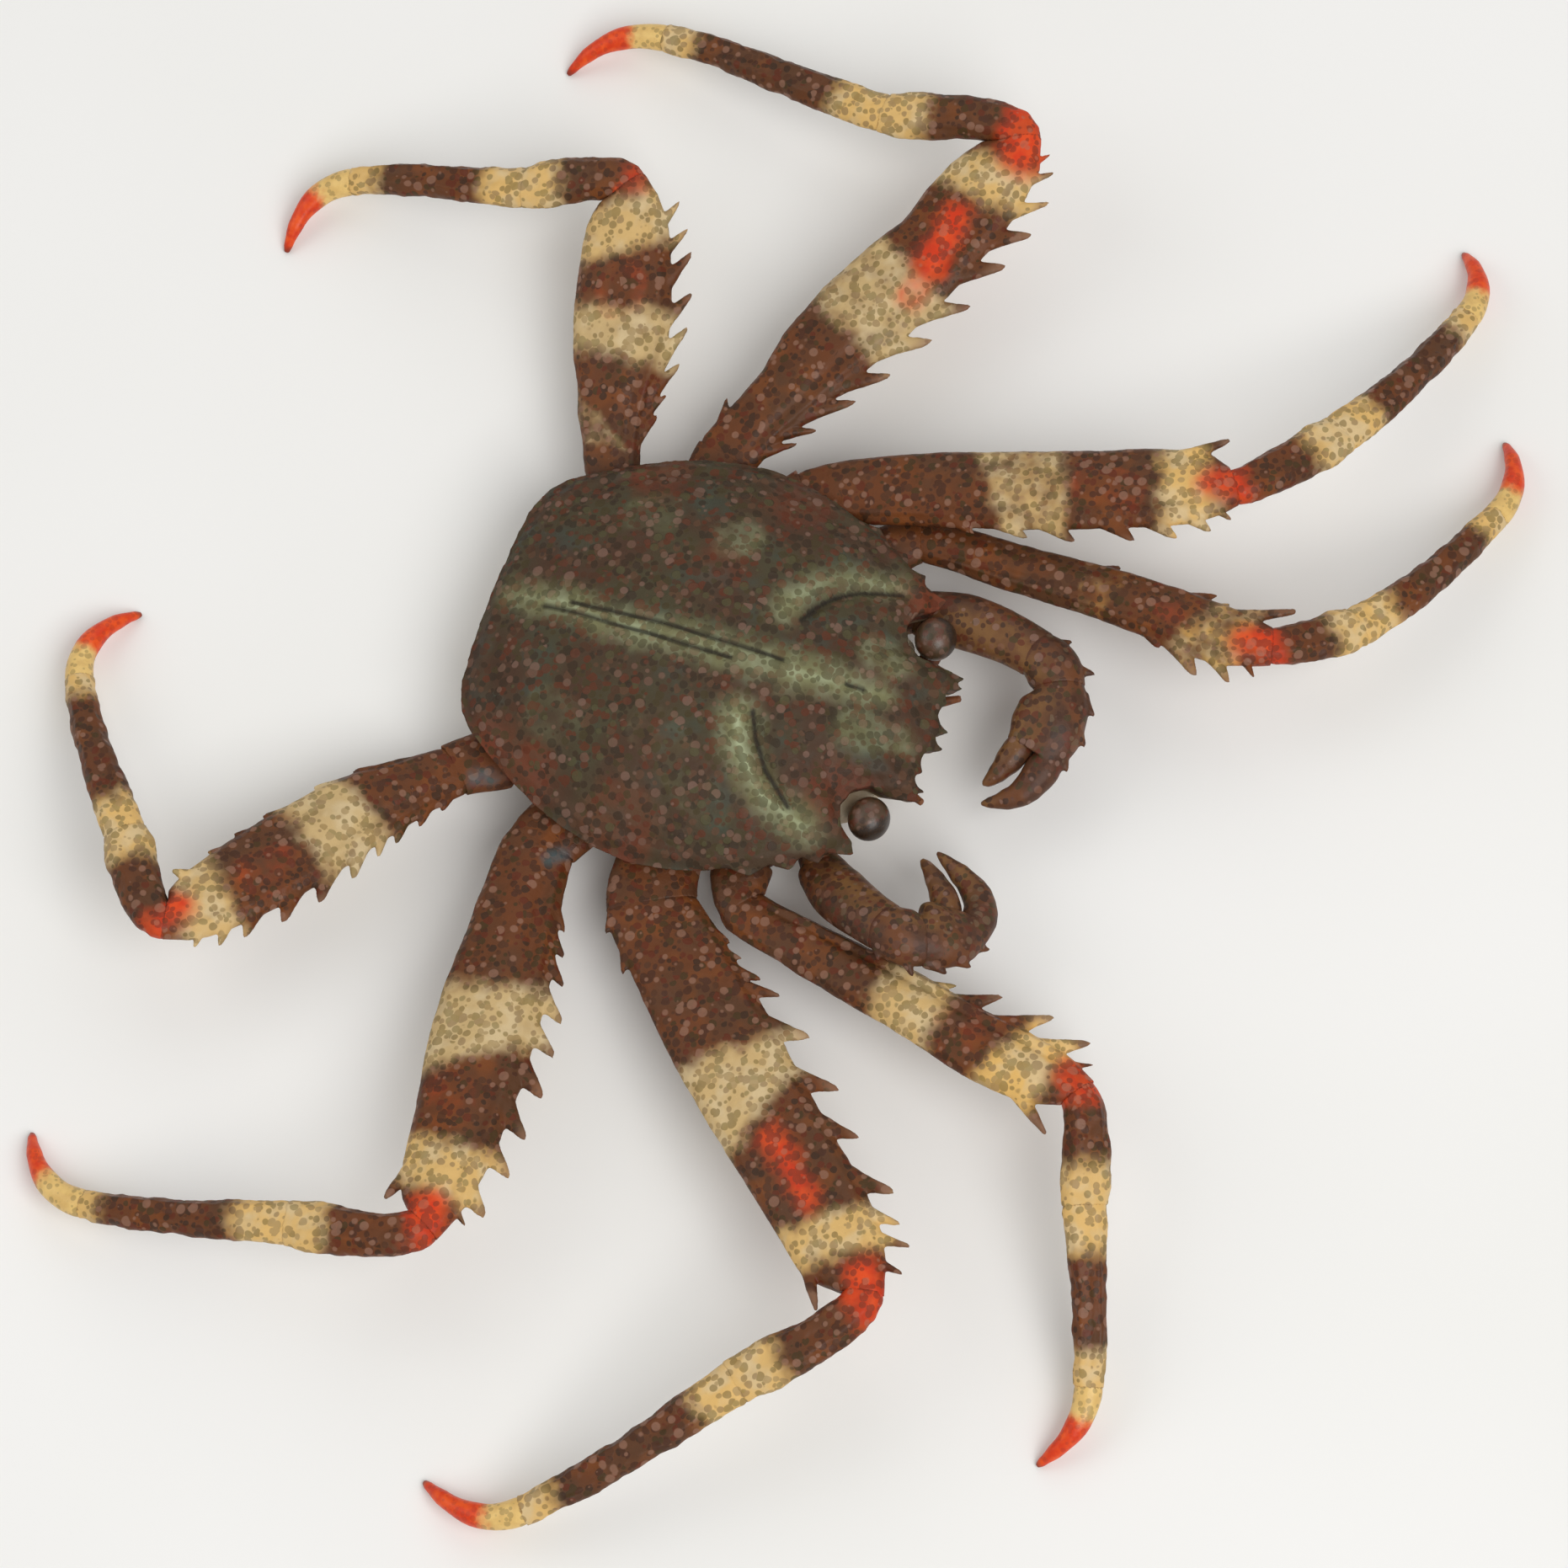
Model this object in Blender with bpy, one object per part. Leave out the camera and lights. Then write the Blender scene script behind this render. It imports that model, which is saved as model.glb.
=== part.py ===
"""A nimble spray crab, Percnon gibbesi, at life size: a still model that stands on its eight claws.

Frame: +X is the crab's left, -Y the way its head points, +Z up, and the floor is Z = 0.
The flat carapace lies over a thorax block. Ten limbs leave that block, and each limb is a chain of
joints: every segment is lofted along a smooth line from one joint to the next, so that neighbours
face each other across a thin gap. At the end the whole crab is moved so that the origin is under
the middle of its box.
"""
import math
import random

import bmesh
import bpy
from mathutils import Vector

MM = 0.001
UPRIGHT = Vector((0, 0, 1))
# Clear space between neighbouring nodes
GAP = 0.3 * MM

# Carapace: a disc a little longer than wide, domed above, with a flat underside
CARAPACE_UNDER = 6.3 * MM
CARAPACE_RIM = 0.9 * MM
CARAPACE_FRONT_RISE = 0.7 * MM
CARAPACE_DOME = 4.3 * MM
CARAPACE_CENTRE_Y = -0.5 * MM
# Its rings, as shares of the margin's size
CARAPACE_RINGS = (1.0, 0.95, 0.87, 0.77, 0.66, 0.54, 0.41, 0.27, 0.13)
# The groove behind the stomach, in mm: where it starts, how it bends forward, its width and depth
GROOVE_Y = -5.0
GROOVE_START = 3.0
GROOVE_BEND = 0.045
GROOVE_WIDTH = 1.6
GROOVE_DEPTH = 0.88
# Its left margin in mm, from the notch at the front to the middle of the rear edge
FRONT_MARGIN = (
    (0.0, -17.0), (0.8, -17.0), (1.3, -18.2), (1.9, -17.0), (2.5, -18.1), (3.1, -16.8), (4.0, -16.5),
    (4.9, -17.4),
)
SIDE_MARGIN = (
    (10.2, -14.3), (10.7, -12.4), (11.6, -12.2), (11.6, -10.9), (12.7, -10.4), (12.8, -9.0),
    (14.0, -7.9), (14.0, -6.3), (14.9, -4.2), (15.5, -1.7), (15.8, 0.8), (15.5, 3.3), (14.9, 5.8),
    (13.9, 8.4), (12.6, 10.8), (11.4, 12.8), (10.3, 14.4), (9.0, 15.6), (7.2, 16.3), (4.0, 16.6),
    (0.0, 16.7),
)

# Eyes: balls in the two orbits that notch the front of the carapace
EYE = Vector((7.2, -14.4, 7.5)) * MM
EYE_RADII = Vector((1.6, 1.5, 1.35)) * MM
ORBIT_RADIUS = 2.1 * MM
ORBIT_ARC = (205.0, 15.0)
ORBIT_STEPS = 6
STALK_RADIUS = 0.75 * MM
STALK_HEIGHT = 4.9

# Thorax: the block under the carapace that every limb leaves
THORAX_TOP = CARAPACE_UNDER - GAP
THORAX_UNDER = 3.1 * MM
THORAX_CHIN = 4.2 * MM
CHIN_START = -8.0 * MM
CHIN_END = -14.4 * MM
# Its left margin in mm, front to rear: each straight stretch is the face that one limb leaves
THORAX_MARGIN = (
    (0.0, -14.4), (4.2, -14.4), (6.9, -12.9), (7.5, -11.9), (9.1, -9.0), (9.7, -4.0), (9.8, 1.5),
    (9.3, 7.0), (7.0, 12.4), (5.0, 13.8), (0.0, 13.8),
)
STALK_FACE, PINCER_FACE = 1, 3
LEG_FACES = {2: 4, 3: 5, 4: 6, 5: 7}

# Antennae, in mm: short feelers that leave the chin
FEELER_ROOT = (3.2, -14.4, 5.1)
FEELER_TIP = (4.2, -17.4, 5.7)
FEELER_WIDTH = ((0.0, 0.65), (0.35, 0.6), (0.5, 0.38), (1.0, 0.26))

# Abdomen: the female's broad flap, folded under the thorax in seven segments
FLAP_LINE = (
    (15.0, 5.4), (15.0, 3.6), (13.6, 2.45), (9.0, 2.35), (4.0, 2.3), (-1.0, 2.35), (-5.2, 2.4), (-7.4, 2.4),
)
FLAP_WIDTHS = (6.0, 7.2, 8.0, 7.9, 7.3, 6.0, 3.6)
FLAP_THICKNESS = 0.8 * MM

# Walking legs. Joints in mm: hip, knee, wrist, ankle, claw tip, seen from above
LEG_PLAN = {
    ("left", 2): ((15.1, -10.8), (14.2, -37.2), (18.3, -42.3), (31.4, -49.0), (38.3, -47.8)),
    ("left", 3): ((15.7, -1.8), (24.4, -31.0), (31.6, -36.7), (45.7, -42.3), (51.8, -40.4)),
    ("left", 4): ((16.5, 4.6), (45.2, -7.8), (44.7, 2.6), (47.4, 20.6), (43.5, 27.0)),
    ("left", 5): ((12.4, 12.0), (32.6, 18.1), (30.5, 25.4), (28.7, 38.4), (22.9, 41.6)),
    ("right", 2): ((-15.5, -8.0), (-21.8, -34.8), (-28.9, -37.7), (-39.9, -41.9), (-45.6, -40.2)),
    ("right", 3): ((-17.6, -1.9), (-40.7, -25.6), (-49.0, -19.3), (-61.1, -8.1), (-60.8, -0.7)),
    ("right", 4): ((-16.1, 7.0), (-46.2, 4.4), (-48.6, 13.5), (-50.8, 28.3), (-46.5, 34.1)),
    ("right", 5): ((-12.7, 14.9), (-31.2, 29.3), (-25.6, 34.6), (-14.5, 42.9), (-7.4, 41.2)),
}
# Where each merus starts it is this wide, in mm
MERUS_BASE = {
    ("left", 2): 3.4, ("left", 3): 4.2, ("left", 4): 5.0, ("left", 5): 4.4,
    ("right", 2): 3.6, ("right", 3): 6.0, ("right", 4): 5.0, ("right", 5): 4.2,
}
# What the two legs of a pair share: the heights of hip, knee, wrist and ankle in mm, the greatest
# width of the merus, and the size of the leg beyond the knee
LEG_PAIRS = {
    2: {"heights": (4.7, 8.6, 7.2, 3.0), "merus_width": 5.5, "shank": 0.98},
    3: {"heights": (4.9, 10.0, 8.2, 3.1), "merus_width": 6.8, "shank": 1.0},
    4: {"heights": (4.9, 10.0, 8.2, 3.1), "merus_width": 7.3, "shank": 1.0},
    5: {"heights": (4.8, 9.0, 7.6, 3.0), "merus_width": 6.8, "shank": 1.0},
}
COXA_HEIGHT = 4.4
# How far each merus leans about its length at the knee, in degrees: plus lifts its front edge
MERUS_LEAN = {("left", 2): 12.0, ("right", 2): -14.0}
MERUS_LEAN_USUAL = 15.0

# Half widths and half thicknesses of the leg segments, as (place along the segment, size in mm).
# The merus's widths are shares of its greatest width, from its start on.
COXA_ROOT = 2.1
COXA_SWELL = 0.3
COXA_THICKNESS = ((0.0, 1.2), (0.5, 1.25), (1.0, 0.9))
MERUS_SHAPE = ((0.4, 0.98), (0.75, 1.0), (0.92, 0.8), (1.0, 0.42))
MERUS_THICKNESS = ((0.0, 0.9), (0.45, 1.15), (1.0, 1.05))
CARPUS_WIDTH = ((0.0, 1.25), (0.3, 1.5), (0.8, 1.85), (1.0, 1.55))
CARPUS_THICKNESS = ((0.0, 1.05), (0.5, 1.05), (1.0, 0.95))
PROPODUS_WIDTH = ((0.0, 1.5), (0.2, 1.4), (0.55, 1.25), (1.0, 1.1))
PROPODUS_THICKNESS = ((0.0, 0.95), (0.5, 0.9), (1.0, 0.85))
DACTYLUS_WIDTH = ((0.0, 1.05), (0.35, 0.9), (0.7, 0.62), (1.0, 0.36))
DACTYLUS_THICKNESS = ((0.0, 0.85), (0.35, 0.8), (0.7, 0.55), (1.0, 0.36))
CLAW_FOOT = 0.36 * MM

# Spines of each merus: how many on the front edge, where the first and the last of them stand, and
# the size of the one where the rear edge meets the knee
SPINES = {
    ("left", 2): (4, 0.7, 0.94, 1.2), ("left", 3): (8, 0.34, 0.94, 1.2),
    ("left", 4): (11, 0.13, 0.95, 0.0), ("left", 5): (8, 0.22, 0.94, 0.0),
    ("right", 2): (5, 0.58, 0.94, 1.5), ("right", 3): (9, 0.27, 0.95, 1.4),
    ("right", 4): (10, 0.18, 0.95, 1.2), ("right", 5): (9, 0.18, 0.95, 0.0),
}
KNEE_SPINE_PLACE = 0.88
SPINE_REACH = {2: 1.5, 3: 1.8, 4: 2.0, 5: 1.5}
SPINE_THICKNESS = 1.0 * MM
SPINE_BASE = 2.6 * MM
# How deep a spine's root sits in its segment, and how far it leans on for each mm of reach
SPINE_SUNK = 0.9 * MM
SPINE_LEAN = 0.8
# Small spines of the rear edge of the second legs
REAR_SPINES = (0.56, 0.74)
REAR_SPINE_SIZE = 0.6
# Base, reach and lean of a spine of the rear edge at size 1
REAR_SPINE = (1.8 * MM, 0.6 * MM, 1.4 * MM)

# Chelipeds. Joints in mm: shoulder, elbow, wrist, knuckle, finger tips
CLAW_JOINTS = {
    "left": (
        (9.7, -12.6, 4.7), (8.9, -21.6, 6.4), (7.0, -23.8, 6.4), (1.7, -23.6, 6.0), (-2.0, -21.0, 5.2),
    ),
    "right": (
        (-11.0, -12.2, 4.8), (-14.9, -18.3, 8.9), (-14.9, -21.0, 8.8), (-12.2, -23.0, 7.2),
        (-7.8, -19.1, 5.8),
    ),
}
CLAW_ROOT_HEIGHT = 4.5
CLAW_BASE = ((0.0, 1.3), (1.0, 1.35))
CLAW_MERUS = ((0.0, 1.6), (0.35, 2.0), (1.0, 1.75))
CLAW_CARPUS = ((0.0, 1.7), (0.5, 1.95), (1.0, 1.6))
CLAW_PALM = ((0.0, 1.6), (0.45, 2.35), (1.0, 2.1))
CLAW_PALM_THICKNESS = ((0.0, 1.3), (0.45, 1.6), (1.0, 1.2))
CLAW_FINGER = ((0.0, 0.95), (0.6, 0.7), (1.0, 0.42))
# Half the space between the fingers' middles where they start and at their tips
FINGER_SPREAD = 1.15 * MM
TIP_SPREAD = 0.37 * MM
# The fixed finger reaches this much further than the free one
FINGER_LEAD = 0.62 * MM
# The spine on the outside of the carpus: where it stands, and its base, reach and lean
ELBOW_SPINE_PLACE = 0.45
ELBOW_SPINE_ROOT = 1.75 * MM
ELBOW_SPINE = (1.5 * MM, 0.9 * MM, 0.6 * MM)
FINGER_SUNK = 0.8 * MM

SIDES = {"left": 1.0, "right": -1.0}

BROWN = (0.16, 0.075, 0.04)
OLIVE = (0.11, 0.08, 0.045)
CREAM = (0.62, 0.46, 0.25)
ORANGE = (0.75, 0.13, 0.035)
GOLDEN = (0.2, 0.1, 0.045)
PALE = (0.66, 0.6, 0.5)
BLACK = (0.02, 0.015, 0.012)

chance = random.Random(7)


def clear_scene():
    for item in list(bpy.data.objects):
        bpy.data.objects.remove(item, do_unlink=True)


def shell_material(name, colour, roughness=0.5):
    material = bpy.data.materials.new(name)
    material.use_nodes = True
    shader = material.node_tree.nodes["Principled BSDF"]
    shader.inputs["Base Color"].default_value = (*colour, 1.0)
    shader.inputs["Roughness"].default_value = roughness
    shader.inputs["Metallic"].default_value = 0.0
    return material


def mm(*place):
    """A place given in millimetres, as a vector in metres."""
    return Vector(place) * MM


def level(place, knots):
    """The value at a place along a run of (place, value) knots, eased from knot to knot."""
    for (a, low), (b, high) in zip(knots, knots[1:]):
        if place <= b:
            part = (place - a) / (b - a)
            part = part * part * (3 - 2 * part)
            return low + (high - low) * part
    return knots[-1][1]


def steps(count):
    return [i / (count - 1) for i in range(count)]


def slimmer(knots, share):
    """A run of knots with every value multiplied by one share."""
    return [(place, value * share) for place, value in knots]


def object_of(mesh, name, colour=None):
    """Turn a finished bmesh into an object whose faces point out, in its own material."""
    bmesh.ops.recalc_face_normals(mesh, faces=mesh.faces)
    if mesh.calc_volume(signed=True) < 0:
        bmesh.ops.reverse_faces(mesh, faces=mesh.faces)
    data = bpy.data.meshes.new(name)
    mesh.to_mesh(data)
    mesh.free()
    data.shade_smooth()
    item = bpy.data.objects.new(name, data)
    bpy.context.scene.collection.objects.link(item)
    if colour:
        data.materials.append(shell_material(name, colour))
    return item


def loft(name, rings, colour=None):
    """A closed body through rings of equal count, closed by a face at each end."""
    mesh = bmesh.new()
    loops = [[mesh.verts.new(point) for point in ring] for ring in rings]
    count = len(rings[0])
    for near, far in zip(loops, loops[1:]):
        for i in range(count):
            j = (i + 1) % count
            mesh.faces.new((near[i], near[j], far[j], far[i]))
    mesh.faces.new(list(reversed(loops[0])))
    mesh.faces.new(loops[-1])
    return object_of(mesh, name, colour)


def keep_largest(item):
    """Keep only the largest closed surface of a fused body."""
    mesh = bmesh.new()
    mesh.from_mesh(item.data)
    unseen = set(mesh.verts)
    islands = []
    while unseen:
        front = [unseen.pop()]
        island = set(front)
        while front:
            for edge in front.pop().link_edges:
                for vert in edge.verts:
                    if vert in unseen:
                        unseen.remove(vert)
                        island.add(vert)
                        front.append(vert)
        islands.append(island)
    islands.sort(key=len)
    scraps = [vert for island in islands[:-1] for vert in island]
    bmesh.ops.delete(mesh, geom=scraps, context="VERTS")
    mesh.to_mesh(item.data)
    mesh.free()


def fuse(body, pieces):
    """Join the pieces to the body with one Boolean union, then drop them."""
    group = bpy.data.collections.new(body.name + "_pieces")
    bpy.context.scene.collection.children.link(group)
    for piece in pieces:
        bpy.context.scene.collection.objects.unlink(piece)
        group.objects.link(piece)
    union = body.modifiers.new("union", "BOOLEAN")
    union.operation = "UNION"
    union.solver = "EXACT"
    union.operand_type = "COLLECTION"
    union.collection = group
    seen = body.evaluated_get(bpy.context.evaluated_depsgraph_get())
    fused = bpy.data.meshes.new_from_object(seen)
    body.modifiers.clear()
    body.data = fused
    for piece in pieces:
        bpy.data.objects.remove(piece, do_unlink=True)
    bpy.data.collections.remove(group)
    keep_largest(body)


class Line:
    """A smooth line between two places, with the way it leaves the first and meets the second."""

    def __init__(self, start, start_way, end, end_way, pull=1.0):
        self.start = start + start_way * GAP / 2
        self.end = end - end_way * GAP / 2
        reach = (self.end - self.start).length * pull
        self.leave = start_way * reach
        self.meet = end_way * reach

    def at(self, t):
        a = 2 * t**3 - 3 * t**2 + 1
        b = t**3 - 2 * t**2 + t
        c = 3 * t**2 - 2 * t**3
        d = t**3 - t**2
        return self.start * a + self.leave * b + self.end * c + self.meet * d

    def way(self, t):
        a = 6 * t**2 - 6 * t
        b = 3 * t**2 - 4 * t + 1
        d = 3 * t**2 - 2 * t
        return (self.start * a + self.leave * b - self.end * a + self.meet * d).normalized()


def front_and_up(way, side, lean):
    """The directions of a limb's front edge and of its upper face, for a way along it and a lean."""
    across = way.cross(UPRIGHT).normalized()
    up = across.cross(way)
    front = across * side
    turned_front = front * math.cos(lean) + up * math.sin(lean)
    turned_up = up * math.cos(lean) - front * math.sin(lean)
    return turned_front, turned_up


def limb_ring(line, t, side, lean, half_width, half_thickness, count):
    """One oval section across a limb, widths in mm."""
    front, up = front_and_up(line.way(t), side, lean)
    centre = line.at(t)
    across = front * half_width * MM
    raised = up * half_thickness * MM
    turns = [math.tau * i / count for i in range(count)]
    return [centre + across * math.cos(turn) + raised * math.sin(turn) for turn in turns]


def limb_segment(name, line, side, leans, widths, thicknesses, colour, sides=10, rings=7, scale=1.0):
    """A segment lofted along its line, its lean eased from one joint to the next."""
    sections = []
    for t in steps(rings):
        lean = math.radians(leans[0] + (leans[1] - leans[0]) * t)
        width = level(t, widths) * scale
        thickness = level(t, thicknesses) * scale
        sections.append(limb_ring(line, t, side, lean, width, thickness, sides))
    return loft(name, sections, colour)


def spine(root, along, out, up, base, reach, lean):
    """A tooth that rises from a sunk root and bends towards the end of its segment."""
    sunk = root - out * SPINE_SUNK
    bend = root + out * reach * 0.5 + along * lean * 0.3
    tip = root + out * reach + along * lean
    mesh = bmesh.new()
    half = SPINE_THICKNESS / 2
    low = [sunk - along * base / 2, sunk - up * half, sunk + along * base / 2, sunk + up * half]
    half *= 0.7
    top = [bend - along * base * 0.27, bend - up * half, bend + along * base * 0.22, bend + up * half]
    low = [mesh.verts.new(point) for point in low]
    top = [mesh.verts.new(point) for point in top]
    point = mesh.verts.new(tip)
    for i in range(4):
        j = (i + 1) % 4
        mesh.faces.new((low[i], low[j], top[j], top[i]))
        mesh.faces.new((top[i], top[j], point))
    mesh.faces.new(low)
    return object_of(mesh, "spine")


def merus_widths(limb):
    """Half widths of a merus, in mm, from its start to the knee."""
    half = LEG_PAIRS[limb[1]]["merus_width"] / 2
    start = MERUS_BASE[limb] / 2
    return [(0.0, start), (0.14, (start + half) * 0.52)] + slimmer(MERUS_SHAPE, half)


def merus_spines(line, limb, widths, lean):
    """The teeth of a merus: a row on its front edge, and those of its rear edge."""
    side = SIDES[limb[0]]
    count, first, last, knee_size = SPINES[limb]
    spacing = (line.end - line.start).length * (last - first) / (count - 1)
    pieces = []

    def add(t, edge, base, reach, reach_on):
        front, up = front_and_up(line.way(t), side, math.radians(lean * t))
        root = line.at(t) + front * edge * (level(t, widths) - 0.1) * MM
        pieces.append(spine(root, line.way(t), front * edge, up, base, reach, reach_on))

    for t in [first + (last - first) * share for share in steps(count)]:
        size = (0.55 + 0.45 * math.sin(math.pi * min(t, 0.75) / 1.5)) * chance.uniform(0.88, 1.08)
        if t > 0.9:
            size *= 0.75
        reach = SPINE_REACH[limb[1]] * MM * size
        add(t, 1, min(spacing * 0.9, SPINE_BASE) * size, reach, reach * SPINE_LEAN)
    rear = [(t, REAR_SPINE_SIZE) for t in REAR_SPINES] if limb[1] == 2 else []
    if knee_size:
        rear.append((KNEE_SPINE_PLACE, knee_size))
    for t, size in rear:
        add(t, -1, *[value * size for value in REAR_SPINE])
    return pieces


def unit(a, b):
    return (b - a).normalized()


def thorax_face(number, side, height):
    """The middle of one upright face of the thorax, half a gap out, and the way it looks."""
    near, far = [mm(x * side, y, 0) for x, y in THORAX_MARGIN[number:number + 2]]
    way = (far - near).cross(UPRIGHT).normalized() * side
    return (near + far) / 2 + way * GAP / 2 + mm(0, 0, height), way


def walking_leg(limb):
    """A leg from the thorax to the floor: coxa, merus, carpus, propodus and claw."""
    side = SIDES[limb[0]]
    pair = LEG_PAIRS[limb[1]]
    name = f"{limb[0]}_leg_{limb[1]}"
    hip, knee, wrist, ankle = [mm(*plan, height) for plan, height in zip(LEG_PLAN[limb], pair["heights"])]
    tip = mm(*LEG_PLAN[limb][4], 0.0)
    root, root_way = thorax_face(LEG_FACES[limb[1]], side, COXA_HEIGHT)
    hip_way = (unit(root, hip) + 1.6 * unit(hip, knee)).normalized()
    knee_way = (0.57 * unit(hip, knee) + 0.43 * unit(knee, wrist)).normalized()
    wrist_way = (unit(knee, wrist) + unit(wrist, ankle)).normalized()
    ankle_way = (unit(wrist, ankle) + 0.25 * unit(ankle, tip)).normalized()
    tip_way = (2 * unit(ankle, tip) - ankle_way + Vector((0, 0, -0.6))).normalized()
    lean = MERUS_LEAN.get(limb, MERUS_LEAN_USUAL)
    shank = pair["shank"]
    widths = merus_widths(limb)
    start = widths[0][1]
    coxa_width = ((0.0, COXA_ROOT), (0.45, (COXA_ROOT + start) / 2 + COXA_SWELL), (1.0, start))
    limb_segment(name + "_coxa", Line(root, root_way, hip, hip_way, 0.8), side, (0, 0),
                 coxa_width, COXA_THICKNESS, BROWN, sides=8, rings=5)

    merus_line = Line(hip, hip_way, knee, knee_way, 0.3)
    merus = limb_segment(name + "_merus", merus_line, side, (0, lean), widths, MERUS_THICKNESS,
                         BROWN, sides=12, rings=10)
    fuse(merus, merus_spines(merus_line, limb, widths, lean))

    limb_segment(name + "_carpus", Line(knee, knee_way, wrist, wrist_way, 0.65), side, (lean, 0),
                 CARPUS_WIDTH, CARPUS_THICKNESS, BROWN, rings=8, scale=shank)
    limb_segment(name + "_propodus", Line(wrist, wrist_way, ankle, ankle_way), side, (0, 0),
                 PROPODUS_WIDTH, PROPODUS_THICKNESS, CREAM, scale=shank)
    claw(name + "_claw", Line(ankle, ankle_way, tip, tip_way, 1.25), side, shank)


def claw(name, line, side, scale):
    """The last segment: it curves down and stands on a small flat at its tip."""
    rings = []
    for t in steps(7)[:-1]:
        width = level(t, DACTYLUS_WIDTH) * scale
        thickness = level(t, DACTYLUS_THICKNESS) * scale
        rings.append(limb_ring(line, t, side, 0.0, width, thickness, 8))
    front, up = front_and_up(line.way(1.0), side, 0.0)
    flat_up = Vector((up.x, up.y, 0.0)).normalized()
    centre = Vector((line.end.x, line.end.y, 0.0))
    foot = []
    for i in range(8):
        turn = math.tau * i / 8
        foot.append(centre + front * math.cos(turn) * CLAW_FOOT + flat_up * math.sin(turn) * CLAW_FOOT)
    rings.append(foot)
    loft(name, rings, ORANGE)


def cheliped(side_name):
    """A small pincer limb: base, merus, carpus, palm with its fixed finger, and the free finger."""
    side = SIDES[side_name]
    name = side_name + "_pincer"
    root, way = thorax_face(PINCER_FACE, side, CLAW_ROOT_HEIGHT)
    shoulder, elbow, wrist, knuckle, tip = [mm(*place) for place in CLAW_JOINTS[side_name]]
    shoulder_way = (unit(root, shoulder) + unit(shoulder, elbow)).normalized()
    elbow_way = (unit(shoulder, elbow) + 0.6 * unit(elbow, wrist)).normalized()
    wrist_way = (unit(elbow, wrist) + unit(wrist, knuckle)).normalized()
    palm_way = (unit(wrist, knuckle) + 0.7 * unit(knuckle, tip)).normalized()
    limb_segment(name + "_base", Line(root, way, shoulder, shoulder_way, 0.8), side, (0, 0),
                 CLAW_BASE, CLAW_BASE, BROWN, sides=8, rings=4)
    limb_segment(name + "_merus", Line(shoulder, shoulder_way, elbow, elbow_way, 0.9), side, (0, 0),
                 CLAW_MERUS, slimmer(CLAW_MERUS, 0.72), BROWN, rings=6)
    carpus_line = Line(elbow, elbow_way, wrist, wrist_way)
    carpus = limb_segment(name + "_carpus", carpus_line, side, (0, 0), CLAW_CARPUS,
                          slimmer(CLAW_CARPUS, 0.85), BROWN, rings=6)
    along = carpus_line.way(ELBOW_SPINE_PLACE)
    front, up = front_and_up(along, side, 0.0)
    outer = carpus_line.at(ELBOW_SPINE_PLACE) - front * ELBOW_SPINE_ROOT
    fuse(carpus, [spine(outer, along, -front, up, *ELBOW_SPINE)])
    palm_line = Line(wrist, wrist_way, knuckle, palm_way, 0.9)
    palm = limb_segment(name + "_palm", palm_line, side, (0, 0), CLAW_PALM, CLAW_PALM_THICKNESS, BROWN)
    inner, up = front_and_up(palm_way, side, 0.0)
    bend = (unit(knuckle, tip) + inner * 0.8).normalized()
    fixed_start = knuckle - inner * FINGER_SPREAD - palm_way * FINGER_SUNK
    fixed_tip = tip - inner * TIP_SPREAD + palm_way * FINGER_LEAD
    fixed = limb_segment("finger", Line(fixed_start, palm_way, fixed_tip, bend, 1.55), side, (0, 0),
                         CLAW_FINGER, CLAW_FINGER, None, sides=8)
    fuse(palm, [fixed])
    free_start = knuckle + inner * FINGER_SPREAD
    free_tip = tip + inner * TIP_SPREAD - palm_way * FINGER_LEAD
    limb_segment(name + "_finger", Line(free_start, palm_way, free_tip, bend, 0.6), side, (0, 0),
                 CLAW_FINGER, CLAW_FINGER, GOLDEN, sides=8, rings=6)


def both_sides(half):
    """Close a left half margin, listed front to rear, with its mirror image."""
    points = [mm(x, y, 0) for x, y in half]
    mirrored = [Vector((-p.x, p.y, 0)) for p in reversed(points[1:-1])]
    return points + mirrored


def carapace_margin():
    """The whole outline seen from above, with teeth, orbits and a straight rear edge."""
    orbit = []
    for t in steps(ORBIT_STEPS):
        turn = math.radians(ORBIT_ARC[0] + (ORBIT_ARC[1] - ORBIT_ARC[0]) * t)
        place = EYE + Vector((math.cos(turn), math.sin(turn), 0)) * ORBIT_RADIUS
        orbit.append((place.x / MM, place.y / MM))
    return both_sides(FRONT_MARGIN + tuple(orbit) + SIDE_MARGIN)


def eased(loop, passes):
    """Smooth a closed loop of points by drawing each towards its neighbours."""
    for _ in range(passes):
        loop = [(loop[i - 1] + loop[i] * 2 + loop[(i + 1) % len(loop)]) / 4 for i in range(len(loop))]
    return loop


def dome_height(place, share):
    """Height of the carapace's top: a low dome that rises a little at the front, with its groove."""
    height = CARAPACE_UNDER + CARAPACE_RIM
    height += CARAPACE_DOME * (1 - share**2.3) ** 0.75
    ahead = max(0.0, (CARAPACE_CENTRE_Y - place.y) / (16 * MM))
    height += CARAPACE_FRONT_RISE * ahead * share**2
    x, y = abs(place.x) / MM, place.y / MM
    groove_y = GROOVE_Y - GROOVE_BEND * max(0.0, x - GROOVE_START) ** 2
    groove = math.exp(-((y - groove_y) / GROOVE_WIDTH) ** 2) * min(1.0, x / 4) * (1 - share)
    return height - GROOVE_DEPTH * MM * groove


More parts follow.
